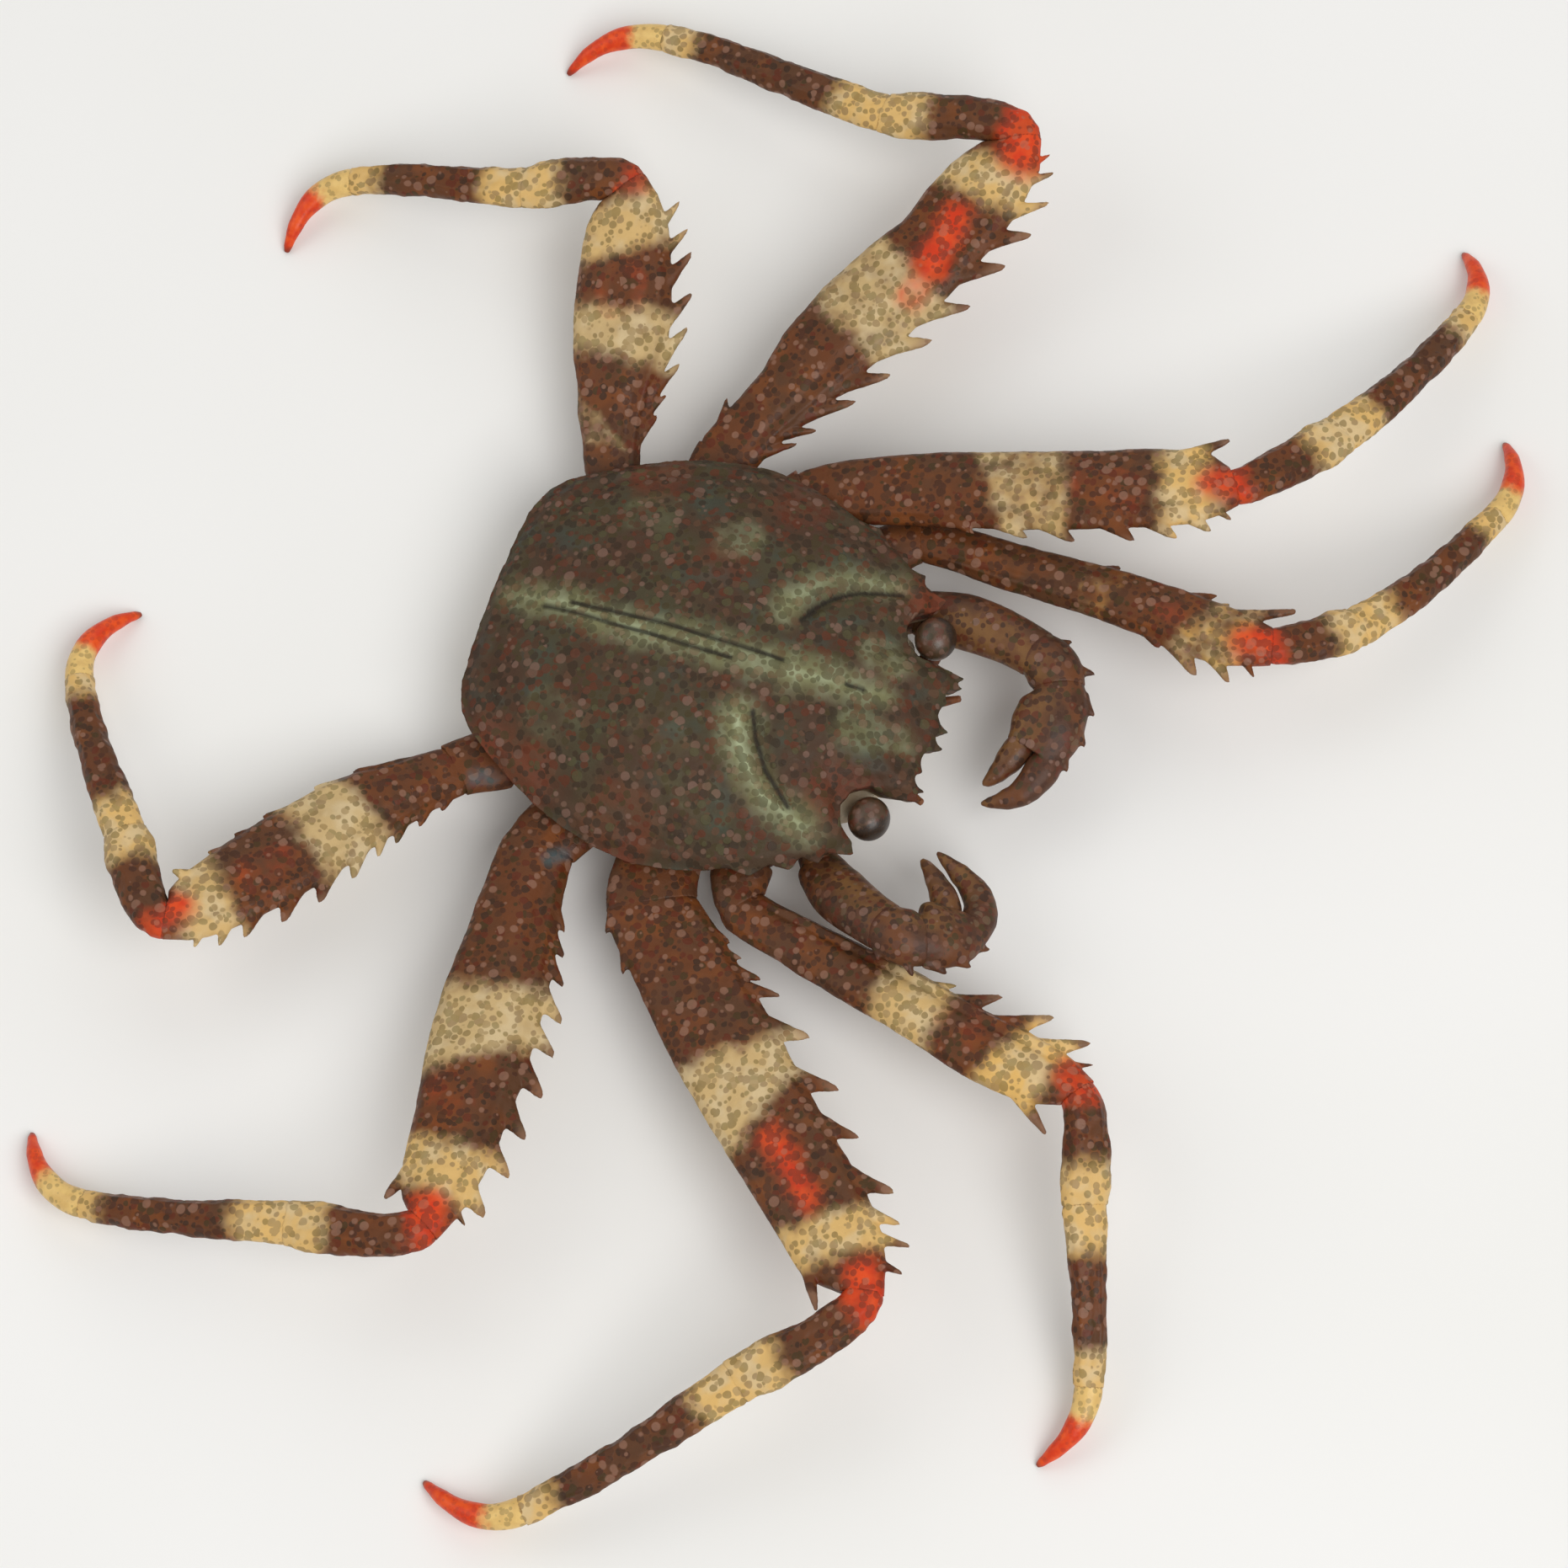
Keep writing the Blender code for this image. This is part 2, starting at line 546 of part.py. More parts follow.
def carapace():
    """The dorsal shield: rings of the margin drawn in towards the middle over a flat underside."""
    margin = carapace_margin()
    centre = Vector((0, CARAPACE_CENTRE_Y, 0))
    mesh = bmesh.new()
    loops = []

    def add_loop(share, passes, height):
        shrunk = [centre + (point - centre) * share for point in eased(margin, passes)]
        loops.append([mesh.verts.new((p.x, p.y, height(p))) for p in shrunk])

    add_loop(0.93, 3, lambda p: CARAPACE_UNDER)
    add_loop(0.985, 0, lambda p: CARAPACE_UNDER + CARAPACE_RIM * 0.3)
    for number, share in enumerate(CARAPACE_RINGS):
        add_loop(share, number * 3, lambda p, share=share: dome_height(p, share))
    count = len(margin)
    for near, far in zip(loops, loops[1:]):
        for i in range(count):
            j = (i + 1) % count
            mesh.faces.new((near[i], near[j], far[j], far[i]))
    mesh.faces.new(list(reversed(loops[0])))
    summit = mesh.verts.new((centre.x, centre.y, dome_height(centre, 0.0)))
    for i in range(count):
        mesh.faces.new((loops[-1][i], loops[-1][(i + 1) % count], summit))
    object_of(mesh, "carapace", OLIVE)


def chin_height(y):
    """Height of the thorax's underside, which slopes up towards the mouth."""
    share = max(0.0, (CHIN_START - y) / (CHIN_START - CHIN_END))
    return THORAX_UNDER + (THORAX_CHIN - THORAX_UNDER) * share


def thorax():
    """The block under the shield."""
    margin = both_sides(THORAX_MARGIN)
    rings = []
    for share, top in ((0.8, 0.0), (1.0, 0.25), (1.0, 1.0)):
        ring = []
        for point in margin:
            floor = chin_height(point.y)
            ring.append(Vector((point.x * share, point.y * share, floor + (THORAX_TOP - floor) * top)))
        rings.append(ring)
    loft("thorax", rings, PALE)


def abdomen():
    """The flap: seven plates, each a little wider at its rear, along a line that turns under the thorax."""
    places = [Vector((0, y, z)) * MM for y, z in FLAP_LINE]
    rings = []
    for number, (near, far) in enumerate(zip(places, places[1:])):
        way = unit(near, far)
        up = way.cross(Vector((1, 0, 0)))
        half = FLAP_WIDTHS[number] * MM
        following = FLAP_WIDTHS[min(number + 1, len(FLAP_WIDTHS) - 1)] * MM
        for t, width in ((0.06, half), (0.9, (half + following) / 2 * 0.97)):
            centre = near.lerp(far, t)
            across = Vector((width, 0, 0))
            raised = up * FLAP_THICKNESS / 2 * (1.0 if t < 0.5 else 0.8)
            turns = [math.tau * (i + 0.5) / 8 for i in range(8)]
            rings.append([centre + across * math.cos(turn) + raised * math.sin(turn) for turn in turns])
    loft("abdomen", rings, PALE)


def mouth():
    """The pair of jaw-feet that close the mouth, lying along the chin."""
    section = ((-1, 0), (-1, -0.7), (-0.5, -1), (0, -0.8), (0.5, -1), (1, -0.7), (1, 0))
    rings = []
    for y, half in ((-8.6, 2.2), (-9.6, 3.3), (-12.2, 3.6), (-14.0, 2.6)):
        top = chin_height(y * MM) - GAP
        rings.append([Vector((x * half * MM, y * MM, top + z * MM)) for x, z in section])
    loft("mouth", rings, PALE)


def eye(side_name):
    """An eyeball in its orbit and the short stalk that carries it."""
    side = SIDES[side_name]
    mesh = bmesh.new()
    bmesh.ops.create_uvsphere(mesh, u_segments=12, v_segments=8, radius=1.0)
    centre = Vector((EYE.x * side, EYE.y, EYE.z))
    for vert in mesh.verts:
        vert.co = centre + vert.co * EYE_RADII
    object_of(mesh, side_name + "_eye", BLACK)
    start, way = thorax_face(STALK_FACE, side, STALK_HEIGHT)
    line = Line(start, way, centre - Vector((0, 0, EYE_RADII.z + GAP / 2)), UPRIGHT, 0.9)
    rings = []
    for t in steps(6):
        travel = line.way(t)
        across = travel.cross(Vector((way.y, -way.x, 0))).normalized() * STALK_RADIUS
        other = travel.cross(across)
        turns = [math.tau * i / 8 for i in range(8)]
        rings.append([line.at(t) + across * math.cos(turn) + other * math.sin(turn) for turn in turns])
    loft(side_name + "_eyestalk", rings, BROWN)


def antenna(side_name):
    """A short feeler from the chin, ending just past the front edge of the shield."""
    side = SIDES[side_name]
    x, y, z = FEELER_ROOT
    start = mm(x * side, y, z) - Vector((0, GAP / 2, 0))
    x, y, z = FEELER_TIP
    end = mm(x * side, y, z)
    out = Vector((0.35 * side, -0.85, 0.3)).normalized()
    limb_segment(side_name + "_antenna", Line(start, Vector((0, -1, 0)), end, out), side, (0, 0),
                 FEELER_WIDTH, FEELER_WIDTH, BROWN, sides=6, rings=6)


def centre_on_floor():
    """Move the whole crab so that the origin lies under the middle of its box."""
    corners = [vert.co for item in bpy.context.scene.objects for vert in item.data.vertices]
    middle_x = (min(c.x for c in corners) + max(c.x for c in corners)) / 2
    middle_y = (min(c.y for c in corners) + max(c.y for c in corners)) / 2
    for item in bpy.context.scene.objects:
        item.location = (-middle_x, -middle_y, 0.0)


clear_scene()
carapace()
thorax()
abdomen()
mouth()
for limb in LEG_PLAN:
    walking_leg(limb)
for side_name in SIDES:
    cheliped(side_name)
    eye(side_name)
    antenna(side_name)
centre_on_floor()
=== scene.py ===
"""The look of a nimble spray crab, Percnon gibbesi: a life-size museum model that stands on its claws.

Places are in millimetres in the crab's own frame: +X is its left, -Y the way its head points and the
floor is Z = 0. Every limb segment is drawn along the same line as its solid in the frame, grown over
with one skin by a remesh, pressed into its finer shape and then marked with the fields that its
colours follow. HOME is where the crab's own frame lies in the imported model.
"""
import math
import random

import bpy
import numpy as np
from mathutils import Matrix, Vector


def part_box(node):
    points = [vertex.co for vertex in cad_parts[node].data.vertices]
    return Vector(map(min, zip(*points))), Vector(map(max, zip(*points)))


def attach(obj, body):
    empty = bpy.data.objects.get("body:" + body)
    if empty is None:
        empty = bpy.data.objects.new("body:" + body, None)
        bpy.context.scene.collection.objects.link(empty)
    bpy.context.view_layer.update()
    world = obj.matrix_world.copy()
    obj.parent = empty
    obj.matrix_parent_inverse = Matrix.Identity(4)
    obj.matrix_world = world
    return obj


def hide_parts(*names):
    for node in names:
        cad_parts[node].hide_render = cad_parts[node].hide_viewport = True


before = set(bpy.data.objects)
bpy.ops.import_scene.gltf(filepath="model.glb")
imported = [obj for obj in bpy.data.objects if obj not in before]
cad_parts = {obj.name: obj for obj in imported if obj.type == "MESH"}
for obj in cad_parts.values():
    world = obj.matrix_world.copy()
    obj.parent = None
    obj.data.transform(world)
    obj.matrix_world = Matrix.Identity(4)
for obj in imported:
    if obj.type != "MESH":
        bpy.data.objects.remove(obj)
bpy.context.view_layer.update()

MM = 0.001
UPRIGHT = Vector((0, 0, 1))
GAP = 0.08 * MM
SIDES = {"left": 1.0, "right": -1.0}
LEGS = [(side, number) for side in SIDES for number in (2, 3, 4, 5)]
# Fields end at this many mm on either side of their edge
FAR = 3.0
chance = random.Random(11)

shield_low, shield_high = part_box("carapace")
HOME = Vector(((shield_low.x + shield_high.x) / 2, shield_high.y - 16.7 * MM, 0))

# Axes of a section that lies flat across Y
FLAT_AXES = Matrix(((1, 0, 0), (0, 0, -1), (0, 1, 0)))
# Voxels of the grown skins, in mm
GRAIN = {
    "leg": 0.115, "leg_claw": 0.1, "pincer": 0.11, "shield": 0.16, "thorax": 0.18, "abdomen": 0.13,
    "mouth": 0.11, "stalk": 0.12, "feeler": 0.1,
}


def by_leg(*rows):
    """A table by leg. Its rows are the left legs from 2 to 5, then the right ones."""
    return dict(zip(LEGS, rows, strict=True))


# Walking legs, as their solids have them. Joints: hip, knee, wrist, ankle, claw tip
LEG_PLAN = by_leg(
    ((15.1, -10.8), (14.2, -37.2), (18.3, -42.3), (31.4, -49.0), (38.3, -47.8)),
    ((15.7, -1.8), (24.4, -31.0), (31.6, -36.7), (45.7, -42.3), (51.8, -40.4)),
    ((16.5, 4.6), (45.2, -7.8), (44.7, 2.6), (47.4, 20.6), (43.5, 27.0)),
    ((12.4, 12.0), (32.6, 18.1), (30.5, 25.4), (28.7, 38.4), (22.9, 41.6)),
    ((-15.5, -8.0), (-21.8, -34.8), (-28.9, -37.7), (-39.9, -41.9), (-45.6, -40.2)),
    ((-17.6, -1.9), (-40.7, -25.6), (-49.0, -19.3), (-61.1, -8.1), (-60.8, -0.7)),
    ((-16.1, 7.0), (-46.2, 4.4), (-48.6, 13.5), (-50.8, 28.3), (-46.5, 34.1)),
    ((-12.7, 14.9), (-31.2, 29.3), (-25.6, 34.6), (-14.5, 42.9), (-7.4, 41.2)),
)
# Half width of the coxa in mm at the body and where it meets the merus, and the angle in degrees by which
# the merus leans forward at the knee
COXA_START = 2.1
COXA_END = by_leg(1.7, 2.1, 2.5, 2.2, 1.8, 3.3, 2.65, 2.1)
MERUS_LEAN = by_leg(12.0, 15.0, 15.0, 15.0, -14.0, 15.0, 15.0, 15.0)
# By number: heights of hip, knee, wrist and ankle in mm, and the size of the segments past the knee
LEG_PAIRS = {
    2: ((4.7, 8.6, 7.2, 3.0), 0.98), 3: ((4.9, 10.0, 8.2, 3.1), 1.0),
    4: ((4.9, 10.0, 8.2, 3.1), 1.0), 5: ((4.8, 9.0, 7.6, 3.0), 1.0),
}
# Height of the claw tips in mm, with their skin just on the floor
CLAW_TIP = 0.1
THORAX_MARGIN = (
    (0.0, -14.4), (4.2, -14.4), (6.9, -12.9), (7.5, -11.9), (9.1, -9.0), (9.7, -4.0), (9.8, 1.5),
    (9.3, 7.0), (7.0, 12.4), (5.0, 13.8), (0.0, 13.8),
)
THORAX_TOP, THORAX_LOW = 6.0, 3.1
# Faces of the thorax that carry the limbs, and how high their middles are in mm
LEG_FACES = {2: 4, 3: 5, 4: 6, 5: 7}
PINCER_FACE = 3
STALK_FACE = 1
LEG_ROOT, PINCER_ROOT, STALK_ROOT = 4.4, 4.5, 4.9

# Rings of the neck that closes a joint: how far back they are as a share of its length, and their size.
# Its last ring: how many mm back it is, and its size. How many mm on the segment's own first ring is.
NECK = ((1.0, 0.5), (0.8, 0.78), (0.45, 0.92))
NECK_ROOT = (0.04, 0.965)
FIRST_RING = 0.25
# The socket at a segment's far end: its rim as a share of the half thickness, and the size of its floor
SOCKET = (0.14, 0.8)

# Half widths and half thicknesses along each segment
COXA_THICKNESS = ((0.0, 1.2), (0.5, 1.25), (1.0, 0.9))
MERUS_THICKNESS = ((0.0, 0.9), (0.45, 1.15), (1.0, 1.05))
CARPUS_WIDTH = ((0.0, 1.5), (0.3, 1.6), (0.8, 1.85), (1.0, 1.6))
CARPUS_THICKNESS = ((0.0, 1.05), (0.5, 1.05), (1.0, 0.95))
PROPODUS_WIDTH = ((0.0, 1.58), (0.2, 1.45), (0.55, 1.25), (1.0, 1.1))
PROPODUS_THICKNESS = ((0.0, 0.95), (0.5, 0.9), (1.0, 0.85))
DACTYLUS_WIDTH = ((0.0, 1.05), (0.35, 0.9), (0.7, 0.6), (0.92, 0.36), (1.0, 0.2))
DACTYLUS_THICKNESS = ((0.0, 0.85), (0.35, 0.8), (0.7, 0.55), (0.92, 0.33), (1.0, 0.2))

# Each merus seen from above: place along it, and how far it reaches to the rear and to the front
# of its line, teeth left out
MERUS_EDGES = by_leg(
    ((0, 1.6, 1.7), (0.24, 1.6, 2.1), (0.4, 1.9, 2.0), (0.55, 2.2, 2.0), (0.7, 2.4, 2.2), (0.8, 2.3, 2.5),
     (0.9, 2.1, 2.4), (1, 1.5, 1.5)),
    ((0, 1.8, 2.3), (0.12, 2.3, 2.9), (0.3, 2.7, 3.3), (0.5, 2.9, 3.5), (0.65, 3.1, 3.4), (0.8, 3.4, 3.2),
     (0.93, 3.3, 2.9), (1, 1.6, 1.5)),
    ((0, 2.4, 2.2), (0.12, 2.4, 2.2), (0.2, 2.7, 2.5), (0.3, 3.7, 2.8), (0.44, 4.1, 3.2), (0.6, 3.8, 3.4),
     (0.68, 3.4, 3.3), (0.78, 3.9, 3.2), (0.88, 3.7, 2.8), (0.95, 2.9, 2.3), (1, 1.5, 1.5)),
    ((0, 2.0, 2.0), (0.12, 2.4, 1.9), (0.2, 2.9, 2.1), (0.3, 3.2, 2.6), (0.4, 3.7, 3.1), (0.55, 4.0, 3.3),
     (0.7, 3.9, 3.1), (0.85, 3.5, 2.7), (0.94, 2.7, 2.1), (1, 1.5, 1.5)),
    ((0, 1.9, 1.7), (0.12, 1.8, 1.9), (0.3, 2.2, 2.1), (0.5, 2.6, 2.1), (0.6, 2.9, 1.9), (0.7, 3.3, 1.8),
     (0.8, 3.4, 1.9), (0.9, 3.1, 1.9), (1, 1.5, 1.5)),
    ((0, 3.4, 3.2), (0.12, 3.4, 3.5), (0.24, 3.8, 3.5), (0.36, 4.1, 3.4), (0.5, 4.2, 3.1),
     (0.65, 4.1, 2.9), (0.8, 3.9, 2.9), (0.9, 3.8, 2.6), (1, 1.6, 1.5)),
    ((0, 2.8, 2.5), (0.12, 3.1, 2.7), (0.24, 3.4, 3.1), (0.36, 3.9, 3.4), (0.48, 4.1, 3.4),
     (0.6, 4.0, 3.3), (0.72, 3.6, 3.0), (0.84, 3.5, 2.6), (0.93, 2.8, 2.0), (1, 1.5, 1.5)),
    ((0, 1.9, 2.0), (0.08, 2.4, 1.9), (0.16, 2.8, 1.9), (0.24, 3.5, 2.0), (0.36, 4.0, 2.1),
     (0.52, 4.1, 2.5), (0.64, 4.0, 2.6), (0.76, 3.7, 2.5), (0.88, 3.2, 2.4), (0.95, 2.4, 2.0), (1, 1.5, 1.5)),
)
# Its teeth: place of the tip along it, and how far the tip stands from the line, in mm
FRONT_TEETH = by_leg(
    ((0.72, 2.7), (0.839, 3.9), (0.93, 3.7), (0.985, 2.8)),
    ((0.4, 3.9), (0.522, 4.2), (0.636, 4.5), (0.774, 4.4), (0.871, 4.2), (0.947, 3.7), (0.99, 2.8)),
    ((0.122, 3.2), (0.179, 3.5), (0.288, 4.1), (0.386, 4.5), (0.507, 4.9), (0.623, 5.2), (0.741, 5.0),
     (0.833, 4.9), (0.91, 4.3), (0.969, 3.3), (0.993, 2.4)),
    ((0.211, 2.9), (0.286, 3.4), (0.389, 4.1), (0.515, 4.5), (0.63, 4.6), (0.764, 4.4), (0.845, 4.1),
     (0.934, 3.5)),
    ((0.582, 2.6), (0.694, 3.4), (0.835, 3.9), (0.945, 3.5), (0.985, 2.4)),
    ((0.154, 3.8), (0.204, 3.9), (0.266, 4.2), (0.324, 4.8), (0.439, 5.0), (0.576, 4.8), (0.692, 4.3),
     (0.834, 4.5), (0.901, 3.9), (0.952, 3.9), (0.992, 2.8)),
    ((0.201, 3.4), (0.269, 3.8), (0.345, 4.3), (0.438, 4.8), (0.527, 4.9), (0.634, 4.9), (0.744, 4.6),
     (0.842, 4.3), (0.944, 3.6), (0.97, 2.6)),
    ((0.096, 2.3), (0.186, 2.5), (0.277, 2.7), (0.349, 2.9), (0.452, 3.4), (0.579, 3.8), (0.705, 3.8),
     (0.823, 3.5), (0.9, 3.3), (0.96, 2.7)),
)
REAR_TEETH = by_leg(
    ((0.527, 2.5), (0.798, 2.9), (0.845, 2.5)),
    (),
    ((0.1, 3.1),),
    (),
    (),
    ((0.035, 3.6), (0.11, 3.9)),
    (),
    ((0.13, 2.9), (0.243, 3.75), (0.37, 4.25), (0.55, 4.35), (0.66, 4.25), (0.76, 4.0)),
)
# The spine that ends the rear edge, by where its tip stands seen from above
END_SPINES = by_leg(
    (17.3, -37.9), (27.7, -29.5), None, None, (-25.3, -33.6), (-42.8, -23.0), (-45.2, 7.5), (-27.6, 30.1),
)
# Where along the merus its foot stands, how long and thick the foot is and how far it is sunk, in mm
SPINE_SHARE, SPINE_FOOT, SPINE_THICK, SPINE_SUNK = 0.84, 1.9, 1.5, 1.3
# A tooth's foot is as long as the space before it, within these limits. The first tooth has this space,
# and each foot is sunk this deep, all in mm.
FOOT_LIMITS = (1.1, 3.2)
FIRST_SPACE = 2.2
TOOTH_SUNK = 0.4
# How far the tooth's own tip leads its foot, as a share of the foot
TOOTH_LEAD = 0.44
# How far the tips hook on past the feet, in mm
TOOTH_HOOK = by_leg(0.8, 0.8, 1.25, 1.1, 1.1, 1.0, 0.75, 0.65)

# Pale bands across each merus: where they start and end along it, at the rear and at the front edge,
# how golden they are and how clear. Red places: place along and mm to the front of their two ends,
# radius in mm and strength.
PALE_BANDS = by_leg(
    ((0.84, 0.93, 0.76, 0.92, 1.0, 0.42), (0.48, 0.54, 0.5, 0.52, 1.0, 0.15)),
    ((0.4, 0.58, 0.47, 0.61, 0.3, 0.58), (0.83, 0.93, 0.84, 0.96, 0.8, 0.95)),
    ((0.41, 0.6, 0.39, 0.59, 0.1, 0.75), (0.8, 0.9, 0.84, 0.94, 0.6, 0.95)),
    ((0.42, 0.57, 0.38, 0.55, 0.1, 0.85), (0.72, 0.92, 0.81, 0.97, 0.4, 0.85),
     (0.13, 0.24, 0.1, 0.0, 0.1, 0.3)),
    ((0.43, 0.6, 0.43, 0.59, 0.4, 0.95), (0.76, 0.93, 0.8, 0.93, 0.9, 1.0)),
    ((0.37, 0.59, 0.41, 0.5, 0.2, 0.92), (0.8, 0.89, 0.84, 0.93, 0.6, 0.95)),
    ((0.4, 0.62, 0.38, 0.52, 0.1, 0.95), (0.79, 0.91, 0.81, 0.94, 0.6, 1.0)),
    ((0.31, 0.51, 0.3, 0.51, 0.1, 0.9), (0.78, 0.93, 0.82, 0.96, 0.4, 0.92)),
)
RED_PLACES = by_leg(
    ((0.94, 0.5, 1.0, 0.3, 0.9, 0.85), (0.68, -1.4, 0.74, -0.6, 0.6, 0.06)),
    ((0.95, 0.1, 1.02, 0.0, 0.9, 1.0), (0.68, 0.5, 0.74, 0.9, 0.7, 0.05)),
    ((0.55, 1.7, 0.63, 1.1, 0.45, 0.4), (0.63, 1.1, 0.75, -0.1, 0.95, 1.0),
     (0.96, 0.8, 1.02, 0.4, 1.35, 1.0)),
    ((0.99, 0.6, 1.03, 0.2, 0.4, 0.4), (0.6, -0.6, 0.66, -0.2, 0.7, 0.1)),
    ((0.96, 0.2, 1.03, 0.2, 0.9, 0.62), (0.66, -0.8, 0.72, 0.6, 0.8, 0.02)),
    ((0.61, -0.9, 0.68, -0.8, 0.5, 0.95), (0.68, -0.8, 0.77, -0.9, 0.5, 0.85),
     (0.97, 0.5, 1.02, 0.4, 1.0, 0.95)),
    ((0.97, 0.0, 1.03, 0.0, 1.2, 1.0), (0.66, -1.6, 0.71, -1.0, 0.7, 0.04)),
    ((0.96, -0.4, 1.02, -0.3, 0.95, 1.0), (0.63, 0.4, 0.7, 0.0, 0.8, 0.07)),
)
# Along carpus, propodus and claw: the end of the red, the dark stretch, and where the claw turns red
SHANK_BANDS = by_leg(
    (0.04, 0.66, 0.2, 0.84, 0.3),
    (0.04, 0.66, 0.2, 0.84, 0.3),
    (0.13, 0.7, 0.2, 0.85, 0.3),
    (0.0, 0.66, 0.2, 0.84, 0.35),
    (0.06, 0.65, 0.25, 0.8, 0.3),
    (0.12, 0.68, 0.18, 0.86, 0.3),
    (0.06, 0.7, 0.23, 0.9, 0.45),
    (0.03, 0.68, 0.18, 0.86, 0.3),
)
# Two patches of blue-grey painted shade under the shield's edge, where the last two right legs leave it,
# seen from above: a line and its half width. They lie on skin above this height in mm.
HIP_SHADE_ABOVE = 4.2
HIP_SHADE_MARKS = (((-12.8, 13.2), (-12.4, 12.1), 0.9), ((-17.0, 6.1), (-16.3, 5.3), 1.0))

# Pincers. Joints: shoulder, elbow, wrist, knuckle, finger tips
CLAW_JOINTS = {
    "left": (
        (9.7, -12.6, 4.7), (8.9, -21.6, 6.4), (7.0, -23.8, 6.4), (1.7, -23.6, 6.0), (-2.0, -21.0, 5.2),
    ),
    "right": (
        (-11.0, -12.2, 4.8), (-14.9, -18.3, 8.9), (-14.9, -21.0, 8.8), (-12.2, -23.0, 7.2),
        (-7.8, -19.1, 5.8),
    ),
}
CLAW_BASE = ((0.0, 1.3), (1.0, 1.35))
CLAW_MERUS = ((0.0, 1.8), (0.35, 2.1), (1.0, 1.85))
CLAW_CARPUS = ((0.0, 1.85), (0.5, 2.05), (1.0, 1.85))
CLAW_PALM = ((0.0, 1.85), (0.3, 2.3), (0.6, 2.5), (1.0, 2.2))
CLAW_PALM_FRONT = ((0.0, 1.9), (0.3, 2.75), (0.6, 2.8), (1.0, 2.25))
CLAW_PALM_THICKNESS = ((0.0, 1.45), (0.45, 1.6), (1.0, 1.2))
CLAW_FINGER = ((0.0, 1.08), (0.3, 1.02), (0.6, 0.76), (0.86, 0.48), (0.96, 0.32), (1.0, 0.16))
CLAW_FIXED = ((0.0, 1.1), (0.2, 1.3), (0.45, 1.1), (0.7, 0.8), (0.9, 0.42), (1.0, 0.14))
# Knobs of the carpus and the palm: place along, reach in mm and length of the foot
CARPUS_KNOBS = ((0.35, 2.35, 1.3), (0.97, 2.6, 1.5))
PALM_KNOBS = ((0.3, 2.65, 1.6), (0.62, 2.85, 1.8), (0.96, 2.7, 1.6))
FINGER_SPREAD = 1.15 * MM
TIP_SPREAD = 0.37 * MM
FINGER_LEAD = 0.62 * MM
FINGER_SUNK = 0.8 * MM

# Shield. Its outline is first drawn as a slab this many mm thick
SLAB = 4
SHIELD_CENTRE = (0.0, -0.5)
# Heights in mm of its rim's lower and upper edge, and of its dome above the rim
RIM_LOW, RIM_TOP, DOME = 6.35, 7.1, 4.0
FRONT_MARGIN = (
    (0.0, -16.9), (0.35, -17.1), (0.7, -17.8), (1.05, -16.9), (1.6, -16.5), (2.4, -16.6), (2.75, -16.95),
    (3.1, -16.5), (3.75, -16.7), (4.1, -17.6), (4.4, -16.9), (4.95, -17.5),
)
SIDE_MARGIN = (
    (10.2, -14.3), (10.7, -12.4), (11.6, -12.2), (11.6, -10.9), (12.7, -10.4), (12.8, -9.0),
    (14.0, -7.9), (14.0, -6.3), (14.9, -4.2), (15.5, -1.7), (15.8, 0.8), (15.5, 3.3), (14.9, 5.8),
    (13.9, 8.4), (12.6, 10.8), (11.4, 12.8), (10.3, 14.4), (9.0, 15.6), (7.2, 16.3), (4.0, 16.6),
    (0.0, 16.7),
)
EYE = Vector((7.2, -14.4, 7.5)) * MM
# The notch round each eye: the directions it turns between, in degrees, and its radius in mm
ORBIT_TURN = (205.0, 15.0)
ORBIT_RADIUS = 2.1
EYE_RADII = Vector((1.6, 1.5, 1.35)) * MM
# Lines of the shield: the two ridges along its middle and the curved grooves beside the stomach
MID_LINES = (
    ((-0.4, 12.4), (-0.4, 9.0), (-0.5, 5.2), (-0.4, 1.4), (-0.3, -1.6)),
    ((0.3, 10.5), (0.5, 5.6), (0.7, 0.6), (0.8, -5.1)),
    ((0.8, -9.9), (0.9, -11.1)),
)
GROOVES = (
    ((4.2, -5.3), (5.5, -5.8), (6.8, -6.8), (8.0, -8.4), (9.2, -11.2)),
    ((-3.4, -4.4), (-5.1, -5.2), (-7.0, -6.6), (-8.8, -8.9)),
)
# Pale green places of the shield: a line, its half width at the start and the end, and its strength
GREEN_PLACES = (
    (((0.1, 14.4), (0.2, 11.3), (-0.4, 8.0), (-0.4, 4.0)), 0.6, 0.8, 0.8),
    (((-0.4, 4.0), (0.0, 1.0), (0.1, -3.3), (0.2, -6.0)), 0.7, 0.8, 0.6),
    (((0.2, -6.0), (0.4, -7.6), (0.7, -10.4), (1.0, -12.4)), 1.0, 0.4, 0.75),
    (((-4.3, -3.5), (-6.2, -4.4), (-7.6, -5.6), (-8.9, -7.0), (-9.7, -10.2)), 0.9, 0.7, 1.0),
    (((4.6, -4.0), (5.8, -4.3), (7.3, -5.5), (8.6, -7.4), (9.6, -10.8)), 0.4, 0.2, 0.7),
    (((8.9, 0.6), (8.5, 1.4)), 0.6, 0.4, 0.38),
    (((4.0, -11.4), (3.6, -12.4)), 0.8, 0.4, 0.4),
    (((-2.0, -11.8), (-1.6, -14.6)), 0.9, 0.3, 0.42),
    (((8.9, 7.1), (8.4, 8.0)), 0.6, 0.3, 0.2),
    (((-7.1, 1.8), (-8.6, -0.3), (-10.4, -3.8)), 0.4, 0.4, 0.12),
    (((-8.1, 8.5), (-7.6, 9.5)), 0.6, 0.4, 0.14),
)
